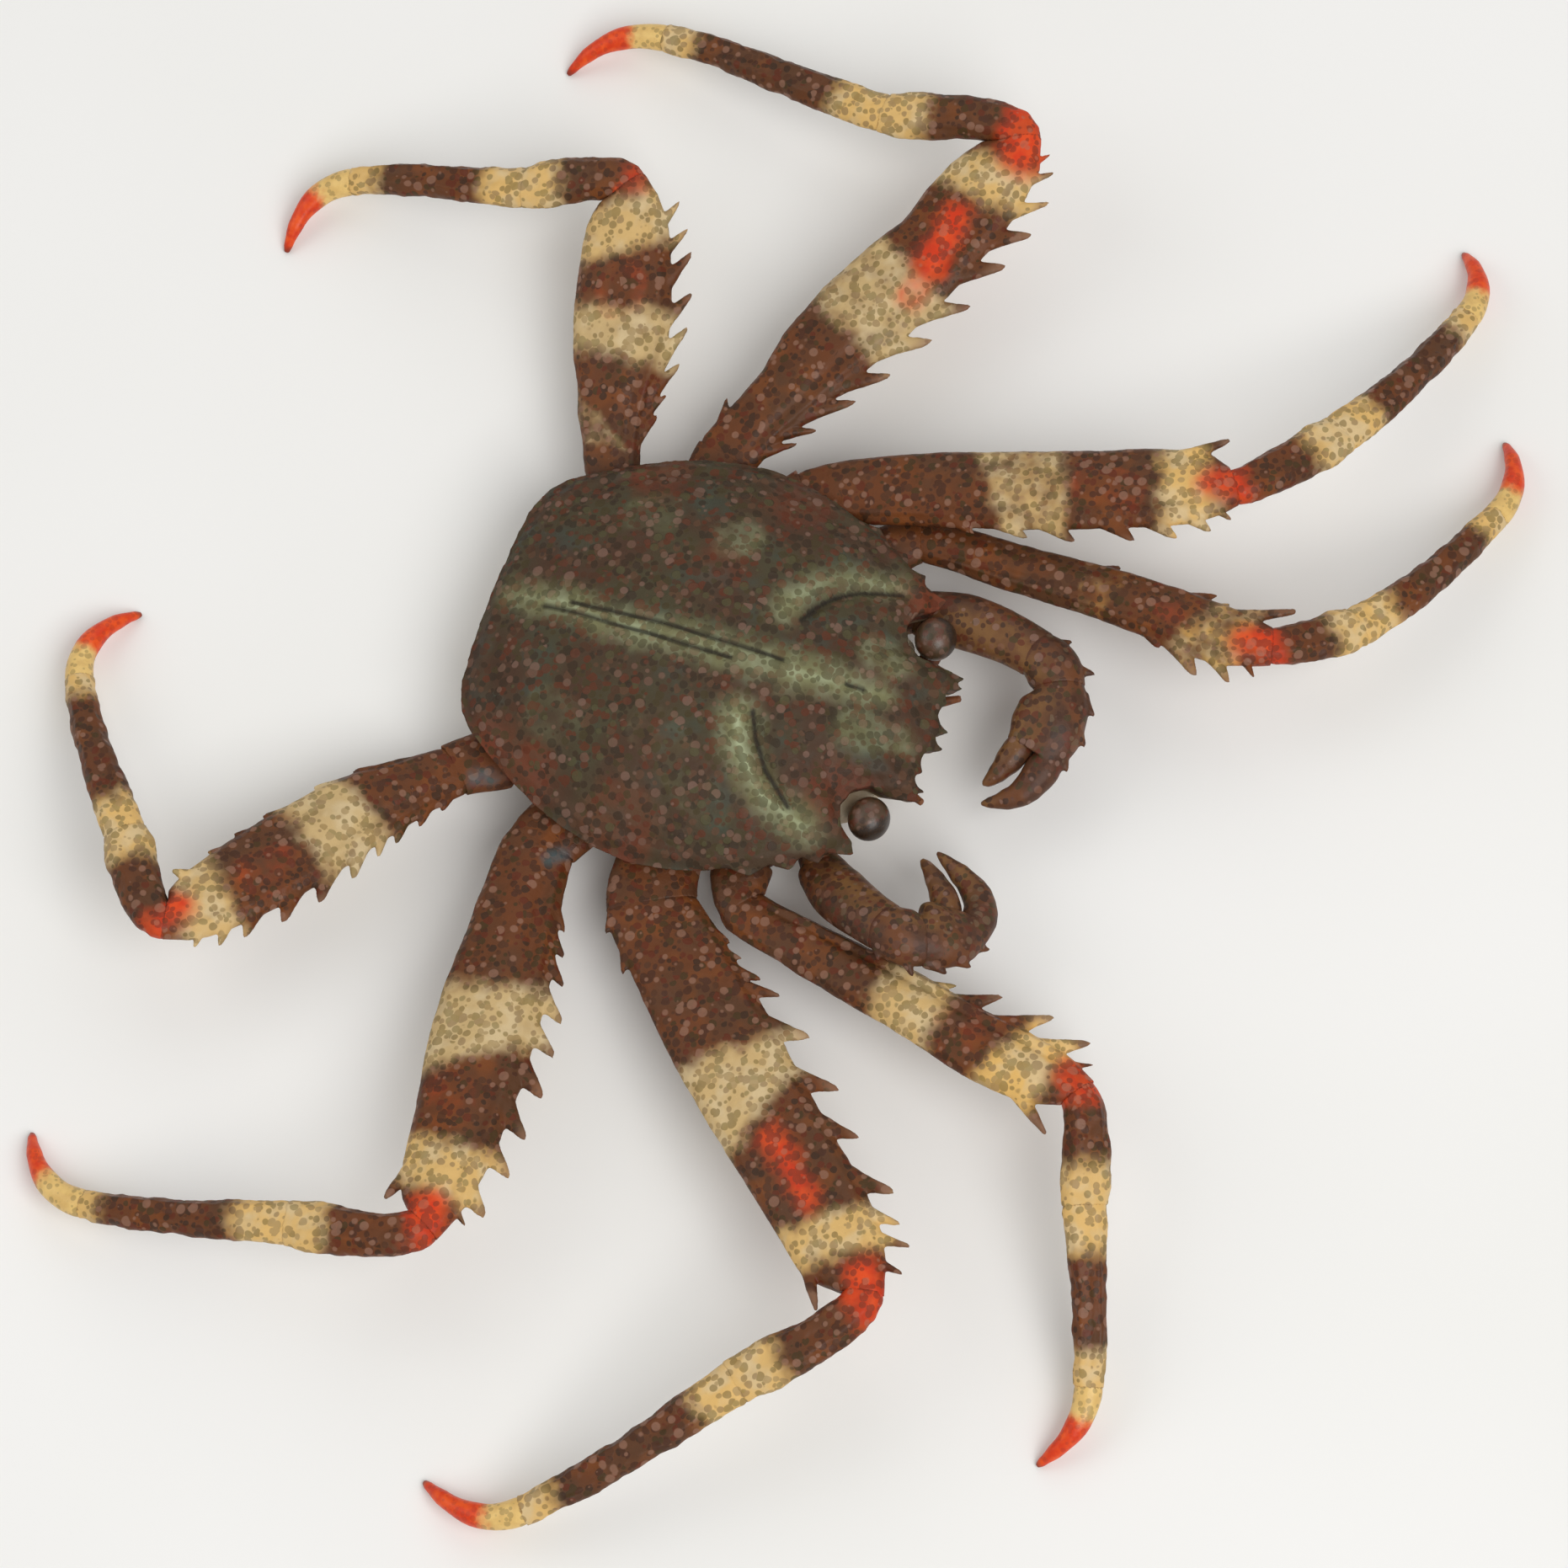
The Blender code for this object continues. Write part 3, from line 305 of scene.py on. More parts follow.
# Rusty places: their middle and radius in mm, and their strength
RUST_PLACES = (
    (9.6, -13.0, 1.6, 1.0), (-6.6, -12.2, 1.8, 0.5), (-11.2, 13.0, 1.6, 0.9), (-12.8, 9.8, 2.0, 0.6),
    (6.2, 1.5, 0.7, 0.3), (-13.6, 2.0, 2.0, 0.45), (12.4, 8.6, 1.6, 0.5), (13.6, -2.0, 1.6, 0.4),
)

# Camera: its aim, distance, direction in degrees and lens
AIM = (-5.87, -7.59, 5.0)
CAMERA_AWAY = 0.46317
CAMERA_TURN = (-70.5, 70.0)
LENS = 150.0


def mm(*place):
    """A place given in millimetres."""
    return Vector(place) * MM


def unit(a, b):
    return (b - a).normalized()


def level(place, knots):
    """The value at a place along a run of (place, value) knots, eased from knot to knot."""
    for (a, low), (b, high) in zip(knots, knots[1:]):
        if place <= b:
            part = (place - a) / (b - a)
            part = part * part * (3 - 2 * part)
            return low + (high - low) * part
    return knots[-1][1]


def slimmer(knots, share):
    return [(place, value * share) for place, value in knots]


class Line:
    """A smooth line between two joints, with the way it leaves the first and meets the second."""

    def __init__(self, start, start_way, end, end_way, pull=1.0):
        self.start = start + start_way * GAP / 2
        self.end = end - end_way * GAP / 2
        reach = (self.end - self.start).length * pull
        self.leave = start_way * reach
        self.meet = end_way * reach
        self.turns = np.linspace(0, 1, 81)
        self.places = np.array([self.at(t) for t in self.turns])
        self.ways = np.array([self.way(t) for t in self.turns])
        steps = np.linalg.norm(np.diff(self.places, axis=0), axis=1)
        self.travel = np.concatenate(([0.0], np.cumsum(steps)))

    def at(self, t):
        a = 2 * t**3 - 3 * t**2 + 1
        b = t**3 - 2 * t**2 + t
        c = 3 * t**2 - 2 * t**3
        d = t**3 - t**2
        return self.start * a + self.leave * b + self.end * c + self.meet * d

    def way(self, t):
        a = 6 * t**2 - 6 * t
        b = 3 * t**2 - 4 * t + 1
        d = 3 * t**2 - 2 * t
        return (self.start * a + self.leave * b - self.end * a + self.meet * d).normalized()

    def turn_at(self, share):
        """The curve's own parameter at a share of its length."""
        return float(np.interp(share * self.travel[-1], self.travel, self.turns))


def front_and_up(way, side, lean):
    """The directions of a limb's front edge and of its upper face."""
    across = way.cross(UPRIGHT).normalized()
    up = across.cross(way)
    front = across * side
    return front * math.cos(lean) + up * math.sin(lean), up * math.cos(lean) - front * math.sin(lean)


def thorax_face(number, side, height):
    near, far = [mm(x * side, y, 0) for x, y in THORAX_MARGIN[number:number + 2]]
    way = (far - near).cross(UPRIGHT).normalized() * side
    return (near + far) / 2 + way * GAP / 2 + mm(0, 0, height), way


def section_axes(way, side, lean):
    """A matrix whose columns run across a limb, up through it and back along it."""
    front, up = front_and_up(way, side, lean)
    return Matrix((front, up, front.cross(up))).transposed()


def fresh():
    bpy.ops.object.select_all(action="DESELECT")


def hold(item):
    """Make a piece the active one and the only one selected."""
    fresh()
    item.select_set(True)
    bpy.context.view_layer.objects.active = item


def settle(item):
    hold(item)
    bpy.ops.object.transform_apply()


def grip_all():
    bpy.ops.object.mode_set(mode="EDIT")
    bpy.ops.mesh.select_all(action="SELECT")


def extrude(value):
    bpy.ops.mesh.extrude_region_move(TRANSFORM_OT_translate={"value": value})


def modelled():
    """The object being modelled, with its faces turned outward, back in object mode."""
    bpy.ops.mesh.select_all(action="SELECT")
    bpy.ops.mesh.normals_make_consistent(inside=False)
    bpy.ops.object.mode_set(mode="OBJECT")
    return bpy.context.object


def turn_section(turn, centre):
    """Turn what is selected by a rotation matrix about a place."""
    axis, angle = turn.to_quaternion().to_axis_angle()
    if abs(angle) > 1e-5:
        grip = axis.to_track_quat("Z", "Y").to_matrix()
        bpy.ops.transform.rotate(value=-angle, orient_axis="Z", orient_matrix=grip, center_override=centre)


def draw_out(name, sections, sides=20, cup=0.0):
    """Model a segment from a disc that is extruded, turned and sized from section to section.

    A section is its centre, its axes and its two half widths in metres. With a cup, the last face is
    inset and pushed in by that much, as the socket that holds the next segment's neck.
    """
    fresh()
    centre, axes, wide, thick = sections[0]
    bpy.ops.mesh.primitive_circle_add(
        vertices=sides, radius=MM, fill_type="NGON", location=centre, rotation=axes.to_euler())
    bpy.context.object.name = name
    bpy.ops.object.mode_set(mode="EDIT")
    size = (wide / MM, thick / MM, 1)
    bpy.ops.transform.resize(
        value=size, orient_matrix=axes, orient_matrix_type="GLOBAL", center_override=centre)
    for before, after in zip(sections, sections[1:]):
        extrude(after[0] - before[0])
        turn_section(after[1] @ before[1].transposed(), after[0])
        size = (after[2] / before[2], after[3] / before[3], 1)
        bpy.ops.transform.resize(
            value=size, orient_matrix=after[1], orient_matrix_type="GLOBAL", center_override=after[0])
    if cup:
        centre, axes, wide, thick = sections[-1]
        inward = axes.col[2].normalized()
        if inward.dot(sections[-1][0] - sections[-2][0]) > 0:
            inward = -inward
        bpy.ops.mesh.inset(thickness=min(wide, thick) * SOCKET[0])
        extrude(inward * cup)
        bpy.ops.transform.resize(value=(SOCKET[1],) * 3, center_override=centre + inward * cup)
    item = modelled()
    settle(item)
    return item


def plate(outline, height, steps):
    """Start a plate: an outline filled at a height and extruded by steps, in mm. It stays in edit mode."""
    fresh()
    bpy.ops.mesh.primitive_circle_add(vertices=len(outline), radius=MM, fill_type="NOTHING")
    item = bpy.context.object
    for vert, (x, y) in zip(item.data.vertices, outline):
        vert.co = (x * MM, y * MM, height * MM)
    grip_all()
    bpy.ops.mesh.edge_face_add()
    for step in steps:
        extrude((0, 0, step * MM))
    return item


def limb_sections(line, side, leans, edges, thicknesses, count, neck=0.9):
    """Sections of a segment, from its neck in the joint before it to its far end.

    Edges gives, at a share of the line, how far the segment reaches to the rear and to the front.
    """
    sections = []

    def section(share, back, size):
        t = line.turn_at(share)
        lean = math.radians(leans[0] + (leans[1] - leans[0]) * t)
        way = line.way(t)
        axes = section_axes(way, side, lean)
        rear, front = edges(share)
        centre = line.at(t) - way * back + axes.col[0] * (front - rear) / 2 * MM
        sections.append((centre, axes, (rear + front) / 2 * size * MM, level(share, thicknesses) * size * MM))

    if neck:
        for back, size in (*[(neck * share, size) for share, size in NECK], NECK_ROOT):
            section(0.0, back * MM, size)
    first = FIRST_RING * MM / line.travel[-1] if neck else 0.0
    for i in range(count):
        section(first + (1 - first) * i / (count - 1), 0, 1.0)
    return sections


def even_edges(widths, scale=1.0):
    """Edges that reach as far to the rear as to the front."""
    return lambda share: (level(share, widths) * scale,) * 2


def merus_edges(limb):
    places, rears, fronts = zip(*MERUS_EDGES[limb])
    return lambda share: (np.interp(share, places, rears), np.interp(share, places, fronts))


def across_limb(on, front, edges):
    """Where points lie from a segment's rear edge, -1, to its front edge, 1, and mm past either edge."""
    shares = np.linspace(0, 1, 61)
    rears, fronts = np.array([edges(share) for share in shares]).T
    rear, ahead = np.interp(on, shares, rears), np.interp(on, shares, fronts)
    across = (front - (ahead - rear) / 2) / ((ahead + rear) / 2)
    return across, np.maximum(front - ahead, -front - rear)


def run_modifier(item, kind, **settings):
    """Put a modifier on a piece and apply it."""
    modifier = item.modifiers.new(kind.lower(), kind)
    for name, value in settings.items():
        setattr(modifier, name, value)
    hold(item)
    bpy.ops.object.modifier_apply(modifier=modifier.name)


def join(items):
    fresh()
    for item in items:
        item.select_set(True)
    bpy.context.view_layer.objects.active = items[0]
    bpy.ops.object.join()
    return items[0]


def grow_skin(item, part, passes):
    """Fuse a piece's parts under one even skin and soften its edges."""
    settle(item)
    run_modifier(item, "REMESH", mode="VOXEL", voxel_size=GRAIN[part] * MM, adaptivity=0.0)
    run_modifier(item, "SMOOTH", factor=0.5, iterations=passes)


def points_of(item):
    co = np.empty(len(item.data.vertices) * 3, np.float32)
    item.data.vertices.foreach_get("co", co)
    return co.reshape(-1, 3).astype(float)


def press(item, depths):
    """Move a skin out by a depth in metres for each of its points, through a weighted Displace."""
    most = float(np.abs(depths).max())
    if most < 1e-7:
        return
    for sign in (1, -1):
        weights = np.clip(depths * sign / most, 0, 1)
        found = np.nonzero(weights > 0.003)[0]
        if not len(found):
            continue
        group = item.vertex_groups.new(name="press")
        for i in found:
            group.add([int(i)], float(weights[i]), "REPLACE")
        run_modifier(item, "DISPLACE", strength=sign * most, mid_level=0.0, vertex_group="press")
        item.vertex_groups.remove(item.vertex_groups["press"])


def roughen(item, kind, size, depth, **settings):
    """Raise a fine relief on a skin from one of Blender's own procedural textures."""
    texture = bpy.data.textures.new(f"{item.name}_{kind.lower()}", kind)
    for name, value in {"noise_scale": size, **settings}.items():
        setattr(texture, name, value)
    run_modifier(item, "DISPLACE", texture=texture, texture_coords="LOCAL", strength=depth, mid_level=0.5)


def mark(item, **fields):
    """Keep fields of numbers, or one number, on a skin's points, for its finish to follow."""
    for name, values in fields.items():
        layer = item.data.attributes.new(name, "FLOAT", "POINT")
        values = np.full(len(item.data.vertices), np.clip(values, -FAR, FAR), np.float32)
        layer.data.foreach_set("value", values)


def bump(values, middle, width):
    """A rounded bump of height 1 along a run of values."""
    return np.exp(-((values - middle) / width) ** 2)


def along_line(points, line, side, leans):
    """For each point: share along a line, and mm to the front and up from it."""
    near = np.empty(len(points), int)
    for start in range(0, len(points), 4000):
        part = points[start:start + 4000]
        gaps = ((part[:, None, :] - line.places[None, :, :]) ** 2).sum(2)
        near[start:start + 4000] = gaps.argmin(1)
    fronts, ups = [], []
    for t, way in zip(line.turns, line.ways):
        lean = math.radians(leans[0] + (leans[1] - leans[0]) * t)
        front, up = front_and_up(Vector(way), side, lean)
        fronts.append(front)
        ups.append(up)
    rest = points - line.places[near]
    on = line.travel[near] + (rest * line.ways[near]).sum(1)
    front = (rest * np.array(fronts)[near]).sum(1) / MM
    up = (rest * np.array(ups)[near]).sum(1) / MM
    return on / line.travel[-1], front, up


def line_gap(x, y, line):
    """Distance in mm from points to a run of places, and how far along it the nearest place is."""
    best = np.full(len(x), 99.0)
    on = np.zeros(len(x))
    for i, ((ax, ay), (bx, by)) in enumerate(zip(line, line[1:])):
        dx, dy = bx - ax, by - ay
        t = np.clip(((x - ax) * dx + (y - ay) * dy) / (dx * dx + dy * dy), 0, 1)
        gap = np.hypot(x - ax - t * dx, y - ay - t * dy)
        on = np.where(gap < best, (i + t) / (len(line) - 1), on)
        best = np.minimum(best, gap)
    return best, on


def skin_of(item, part, line, side, leans, passes):
    """Grow a segment's skin, and find where its points lie along its line."""
    grow_skin(item, part, passes)
    return along_line(points_of(item), line, side, leans)


def finish(item, node, material):
    """Move a piece home, smooth its shading, and put it in the place of its node."""
    hold(item)
    bpy.ops.transform.translate(value=HOME)
    settle(item)
    bpy.ops.object.shade_smooth()
    item.name = item.data.name = f"{node}_shell"
    item.data.materials.clear()
    item.data.materials.append(material)
    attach(item, "root")
    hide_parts(node)


# Finishes


def linear(code):
    """A colour given as sRGB hex, as Blender's linear one."""
    parts = [int(code[i:i + 2], 16) / 255 for i in (1, 3, 5)]
    return [p / 12.92 if p <= 0.04045 else ((p + 0.055) / 1.055) ** 2.4 for p in parts] + [1.0]


# How rough the noises are
GRIT = 0.55
# The nodes that the finishes are made of: kind, settings, inputs in the order they are given, and output
NODES = {
    "place": ("TexCoord", {}, (), "Object"),
    "field": ("Attribute", {}, (), "Fac"),
    "noise": ("TexNoise", {}, ("Vector", "Scale", "Detail", "Roughness"), "Fac"),
    "cells": ("TexVoronoi", {}, ("Vector", "Scale"), None),
    "net": ("TexVoronoi", {"feature": "DISTANCE_TO_EDGE"}, ("Vector", "Scale"), "Distance"),
    "lots": ("SeparateColor", {}, (0,), None),
    "palette": ("ValToRGB", {}, (0,), 0),
    "mix": ("Mix", {"data_type": "RGBA"}, (0, 6, 7), 2),
    "ease": ("MapRange", {"interpolation_type": "SMOOTHSTEP"}, (0, 1, 2, 3, 4), 0),
    "range": ("MapRange", {}, ("Value", "To Min", "To Max"), 0),
    "times": ("Math", {"operation": "MULTIPLY"}, (0, 1), 0),
    "plus": ("Math", {"operation": "ADD"}, (0, 1), 0),
    "minus": ("Math", {"operation": "SUBTRACT"}, (0, 1), 0),
    "shift": ("VectorMath", {}, (0, 1), 0),
    "bump": ("Bump", {}, ("Height", "Distance", "Strength"), 0),
}


class Paint:
    """A finish being made. Crab shell is chitin and lime, about as glossy as a fingernail."""

    def __init__(self, name, roughness, shine=0.3, coat=0.0):
        self.material = bpy.data.materials.new(name)
        self.material.use_nodes = True
        self.tree = self.material.node_tree
        self.shader = self.tree.nodes["Principled BSDF"]
        settings = {"Roughness": roughness, "Specular IOR Level": shine,
                    "Coat Weight": coat, "Coat Roughness": 0.3}
        for socket, value in settings.items():
            self.shader.inputs[socket].default_value = value
        self.place = self.add("place")

    def add(self, name, *inputs, **settings):
        """Add a node of the table with its settings, link or set its inputs, and give its output."""
        kind, always, sockets, output = NODES[name]
        node = self.tree.nodes.new("ShaderNode" + kind)
        for setting, value in (always | settings).items():
            setattr(node, setting, value)
        for socket, value in zip(sockets, inputs):
            if isinstance(value, bpy.types.NodeSocket):
                self.tree.links.new(value, node.inputs[socket])
            else:
                node.inputs[socket].default_value = linear(value) if isinstance(value, str) else value
        return node.outputs if output is None else node.outputs[output]

    def mottle(self, size_mm, low, high, a, b, most=1.0, detail=2.0):
        """One colour over another in soft patches about as large as a size in mm."""
        noise = self.add("noise", self.place, 1000 / size_mm, detail, GRIT)
        return self.add("mix", self.add("ease", noise, low, high, 0.0, most), a, b)

    def tinge(self, skin, name, low, most, colour):
        """A colour over the skin where a field is high."""
        share = self.add("ease", self.add("field", attribute_name=name), low, 1.0, 0.0, most)
        return self.add("mix", share, skin, colour)

    def drifted(self, name, wander, reach_mm, low, high, most=1.0):
        """A field in mm eased from 0 to a most between two depths, its edge made to wander by a noise."""
        drift = self.add("times", self.add("minus", wander, 0.5), reach_mm)
        depth = self.add("plus", self.add("field", attribute_name=name), drift)
        return self.add("ease", depth, low, high, 0.0, most)

    def spots(self, spacing_mm, least, most, *palettes, clumps=None, place=None):
        """Round pigment spots: how much of the skin they cover, and a colour from each palette for each one.

        Least and most are the spots' radii as shares of their spacing. Clumps is a noise that swells them.
        """
        cells = self.add("cells", place or self.place, 1000 / spacing_mm)
        lots = self.add("lots", cells["Color"])
        size = self.add("range", lots["Green"], least, most)
        if clumps:
            size = self.add("plus", size, self.add("ease", clumps, 0.3, 0.7, -0.14, 0.16))
        found = [self.add("ease", self.add("minus", cells["Distance"], size), 0.07, -0.03)]
        for codes in palettes:
            found.append(self.add("palette", lots["Red"]))
            ramp = found[-1].node.color_ramp
            ramp.interpolation = "CONSTANT"
            while len(ramp.elements) < len(codes):
                ramp.elements.new(0.5)
            for i, code in enumerate(codes):
                ramp.elements[i].position = i / len(codes)
                ramp.elements[i].color = linear(code)
        return found

    def painted(self, colour, relief=None, depth_mm=0.0, roughness=None):
        """The material, once its shader is fed by a colour, a relief and a roughness."""
        normal = relief and self.add("bump", relief, depth_mm * MM, 1.0)
        for socket, value in (("Base Color", colour), ("Normal", normal), ("Roughness", roughness)):
            if value:
                self.tree.links.new(value, self.shader.inputs[socket])
        return self.material


def banded_leg_shell():
    """Leg shell of chitin and lime: brown, speckled with pigment cells of 0.3 to 0.55 mm, that clears to
    cream and gold bands and turns orange-red at the joints. Reads as semi-gloss, a little waxy."""
    paint = Paint("banded_leg_cuticle", 0.5, 0.22, coat=0.04)
    wander = paint.add("noise", paint.place, 1000 / 1.6, 2.0, GRIT)
    clumps = paint.add("noise", paint.place, 1000 / 1.1, 1.0, GRIT)
    brown = paint.mottle(4.0, 0.35, 0.65, "#68391b", "#583822")
    brown = paint.mottle(2.6, 0.5, 0.72, brown, "#7c441b", 0.7)
    cream = paint.add("mix", paint.add("field", attribute_name="gold"), "#c4a979", "#e3b566")
    cream = paint.mottle(2.0, 0.42, 0.66, cream, "#d3bd94", 0.7)
    pale = paint.drifted("pale", wander, 2.0, -1.0, 0.9)
    red = paint.drifted("red", wander, 1.7, -1.25, 0.95)
    flame = paint.mottle(1.4, 0.4, 0.62, "#d13814", "#de4c1c")
    base = paint.add("mix", red, paint.add("mix", pale, brown, cream), flame)
    # Pigment cells, each a shade deeper than the skin around it
    cells, dark, deep = paint.spots(
        0.57, 0.3, 0.62, ("#452716", "#5e2813", "#423116", "#50301c", "#48291a", "#382517"),
        ("#8c7a4c", "#94794a", "#86713f", "#a0865a", "#8f7550", "#7f6a3c"), clumps=clumps)
    deep = paint.add("mix", red, paint.add("mix", pale, dark, deep), "#96371f")
    cover = paint.add("times", cells, paint.add("ease", pale, 0.0, 1.0, 0.82, 0.7))
    skin = paint.add("mix", cover, base, deep)
    light = paint.spots(0.86, 0.0, 0.44)[0]
    light = paint.add("times", light, paint.add("ease", pale, 0.0, 1.0, 0.72, 0.0))
    skin = paint.add("mix", light, skin, paint.add("mix", red, "#8b6450", "#bc5f44"))
    # Tooth tips, worn to a greyish pink, and the soft skin of the joints
    skin = paint.tinge(skin, "tip", 0.35, 0.6, "#8e6a52")
    skin = paint.tinge(skin, "soft", 0.0, 0.6, "#4f2a1c")
    # Painted shade: blue-grey where the shield's edge overhangs the last two right legs
    blue = paint.add("ease", paint.add("field", attribute_name="blue"), 0.0, 0.9, 0.0, 0.65)
    blue = paint.add("times", blue, paint.add("ease", clumps, 0.35, 0.65, 0.35, 1.0))
    skin = paint.add("mix", blue, skin, "#4a5e62")
    grain = paint.add("noise", paint.place, 1000 / 0.35, 3.0, GRIT)
    grain = paint.add("plus", grain, paint.add("times", cells, 0.3))
    return paint.painted(skin, grain, 0.04, paint.add("ease", wander, 0.3, 0.7, 0.42, 0.6))


def claw_horn():
    """Claw horn: the same shell, thinner and smoother, from straw yellow to orange-red and a dark point."""
    paint = Paint("claw_horn", 0.38, 0.3, coat=0.08)
    wander = paint.add("noise", paint.place, 1000 / 0.9, 3.0, GRIT)
    red = paint.drifted("red", wander, 1.4, -0.6, 0.7)
    straw = paint.add("mix", paint.add("ease", wander, 0.35, 0.65), "#e6c177", "#d9b26b")
    flame = paint.mottle(0.8, 0.35, 0.7, "#d63a12", "#ea561a")
    cells = paint.spots(0.5, 0.22, 0.5)[0]
    cover = paint.add("times", cells, paint.add("ease", red, 0.0, 1.0, 0.6, 0.45))
    deep = paint.add("mix", red, "#9c8450", "#b2381e")
    skin = paint.add("mix", cover, paint.add("mix", red, straw, flame), deep)
    skin = paint.tinge(skin, "tip", 0.3, 0.8, "#5c2415")
    skin = paint.tinge(skin, "soft", 0.0, 0.6, "#6b4426")
    return paint.painted(skin, paint.add("noise", paint.place, 1000 / 0.3, 2.0, GRIT), 0.03)


def pincer_shell(name, roughness):
    """Pincer shell: smooth brown chitin with pinkish-grey pigment spots, a golden tinge where the palm and
    the fingers face inward, and horn-pale finger tips."""
    paint = Paint(name, roughness, 0.28, coat=0.04)
    wander = paint.add("noise", paint.place, 1000 / 1.4, 2.0, GRIT)
    clumps = paint.add("noise", paint.place, 1000 / 1.1, 1.0, GRIT)
    brown = paint.mottle(2.5, 0.4, 0.65, "#4e3121", "#693e22")
    gold = paint.mottle(1.3, 0.35, 0.65, "#6a4529", "#79542e")
    base = paint.add("mix", paint.drifted("pale", wander, 1.4, -1.0, 1.2), brown, gold)
    cells, dark = paint.spots(
        0.55, 0.3, 0.62, ("#432718", "#5e2c1a", "#43371e", "#5d3a2a", "#472a1d", "#3a281e"), clumps=clumps)
    skin = paint.add("mix", paint.add("times", cells, 0.8), base, dark)
    light, bright = paint.spots(0.75, 0.02, 0.46, ("#8b6a5d", "#7c5440", "#6e5a44"))
    skin = paint.add("mix", paint.add("times", light, 0.55), skin, bright)
    skin = paint.tinge(skin, "tip", 0.2, 0.7, "#7d5838")
    skin = paint.tinge(skin, "soft", 0.0, 0.6, "#4f2a1c")
    return paint.painted(skin, paint.add("noise", paint.place, 1000 / 0.4, 3.0, GRIT), 0.04)


def spotted_shield_shell():
    """Shield: dull, granular shell, dark olive-brown and covered with round pigment spots of 0.3 to 0.7 mm
    in pinkish brown, brick and olive, with pale green clearings along the middle and the grooves."""
    paint = Paint("spotted_shield_cuticle", 0.6, 0.2)
    wander = paint.add("noise", paint.place, 1000 / 2.0, 3.0, GRIT)
    clumps = paint.add("noise", paint.place, 1000 / 1.4, 1.0, GRIT)
    base = paint.mottle(5.0, 0.35, 0.65, "#47402d", "#4a3426")
    base = paint.mottle(3.0, 0.52, 0.72, base, "#3d4a42", 0.5)
    glow = paint.drifted("green", wander, 1.8, -1.6, 1.0)
    clear = paint.mottle(1.6, 0.35, 0.65, "#7b7a55", "#8f9372")
    core = paint.add("ease", paint.add("field", attribute_name="green"), 0.4, 0.95)
    clear = paint.add("mix", core, clear, "#a8b08c")
    base = paint.add("mix", glow, base, clear)
    base = paint.add("mix", paint.drifted("rust", wander, 2.0, -1.6, 1.2, 0.65), base, "#7f361e")
    # Two sizes of pigment cells, the larger over the smaller
    small, dull = paint.spots(
        0.6, 0.3, 0.66, ("#38291c", "#5c2d1a", "#433820", "#4c3020", "#352a1e", "#5c402e"), clumps=clumps)
    dull = paint.add("mix", paint.add("times", glow, 0.75), dull, "#626242")
    skin = paint.add("mix", paint.add("times", small, 0.72), base, dull)
    large, bright = paint.spots(
        0.8, 0.12, 0.5, ("#785b4e", "#5e3424", "#705546", "#6b4e40", "#3b2e24", "#4f4a30"),
        place=paint.add("shift", paint.place, (0.01, 0.02, 0.03)))
    bright = paint.add("mix", paint.add("times", glow, 0.6), bright, "#87845c")
    skin = paint.add("mix", paint.add("times", large, 0.7), skin, bright)
    # Painted shade: near-black along the midline lines and the grooves, where shade falls in the relief
    skin = paint.add("mix", paint.add("field", attribute_name="score"), skin, "#1d1712")
    skin = paint.add("mix", paint.add("field", attribute_name="under"), skin, "#8e7558")
    grain = paint.add("noise", paint.place, 1000 / 0.4, 3.0, GRIT)
    grain = paint.add("plus", grain, paint.add("times", large, 0.5))
    return paint.painted(skin, grain, 0.06, paint.add("ease", wander, 0.3, 0.7, 0.52, 0.7))


def belly_shell():
    """Underside: thin, chalky shell, off-white, with a darker buff painted in its seams as painted shade."""
    paint = Paint("belly_cuticle", 0.55, 0.3)
    tone = paint.mottle(3.0, 0.35, 0.7, "#cfc3aa", "#b39c7e", detail=3.0)
    cells = paint.spots(0.8, 0.05, 0.3)[0]
    tone = paint.add("mix", paint.add("times", cells, 0.3), tone, "#84654e")
    # Painted shade: darker buff in the seams and between the plates
    tone = paint.tinge(tone, "seam", 0.2, 0.7, "#7d5f46")
    return paint.painted(tone, paint.add("noise", paint.place, 1000 / 0.5, 3.0, GRIT), 0.05)


def cornea():
    """Eye: a cap of brown speckled shell above, and facets under a wet-looking clear cuticle, near black
    with a brown net, on the side that looks out."""
    paint = Paint("eye_cornea", 0.3, 0.4, coat=0.3)
    net = paint.add("net", paint.place, 1000 / 0.12)
    facets = paint.add("mix", paint.add("ease", net, 0.02, 0.14), "#46301f", "#17110c")
    cells, speck = paint.spots(0.5, 0.25, 0.6, ("#362519", "#6d5143", "#3b331f", "#5a2f1e"))
    cap = paint.mottle(1.2, 0.4, 0.65, "#4a3826", "#5c3b28")
    cap = paint.add("mix", paint.add("times", cells, 0.75), cap, speck)
    wander = paint.add("noise", paint.place, 1000 / 0.8, 2.0, GRIT)
    tone = paint.add("mix", paint.drifted("facet", wander, 0.5, -0.1, 0.1), cap, facets)
    return paint.painted(tone, net, 0.02)


def feeler_shell():
    """Feelers and eye stalks: thin brown shell with darker spots."""
    paint = Paint("feeler_cuticle", 0.48, 0.3)
    cells = paint.spots(0.45, 0.2, 0.55)[0]
    tone = paint.mottle(1.5, 0.4, 0.65, "#663a24", "#7b4a2b")
    tone = paint.add("mix", paint.add("times", cells, 0.6), tone, "#482a1b")
    return paint.painted(tone, paint.add("noise", paint.place, 1000 / 0.3, 2.0, GRIT), 0.03)


def studio_paper():
    """Matt off-white paper: no pattern that shows at this distance beyond a faint mottle."""
    paint = Paint("studio_paper", 0.9, 0.2)
    return paint.painted(paint.mottle(60.0, 0.3, 0.7, "#f0efec", "#f3f2f0"))


LEG = banded_leg_shell()
CLAW = claw_horn()
FINGER = pincer_shell("finger_cuticle", 0.4)
PINCER = pincer_shell("pincer_cuticle", 0.5)
SHIELD = spotted_shield_shell()
BELLY = belly_shell()
CORNEA = cornea()
FEELER = feeler_shell()


# Limbs


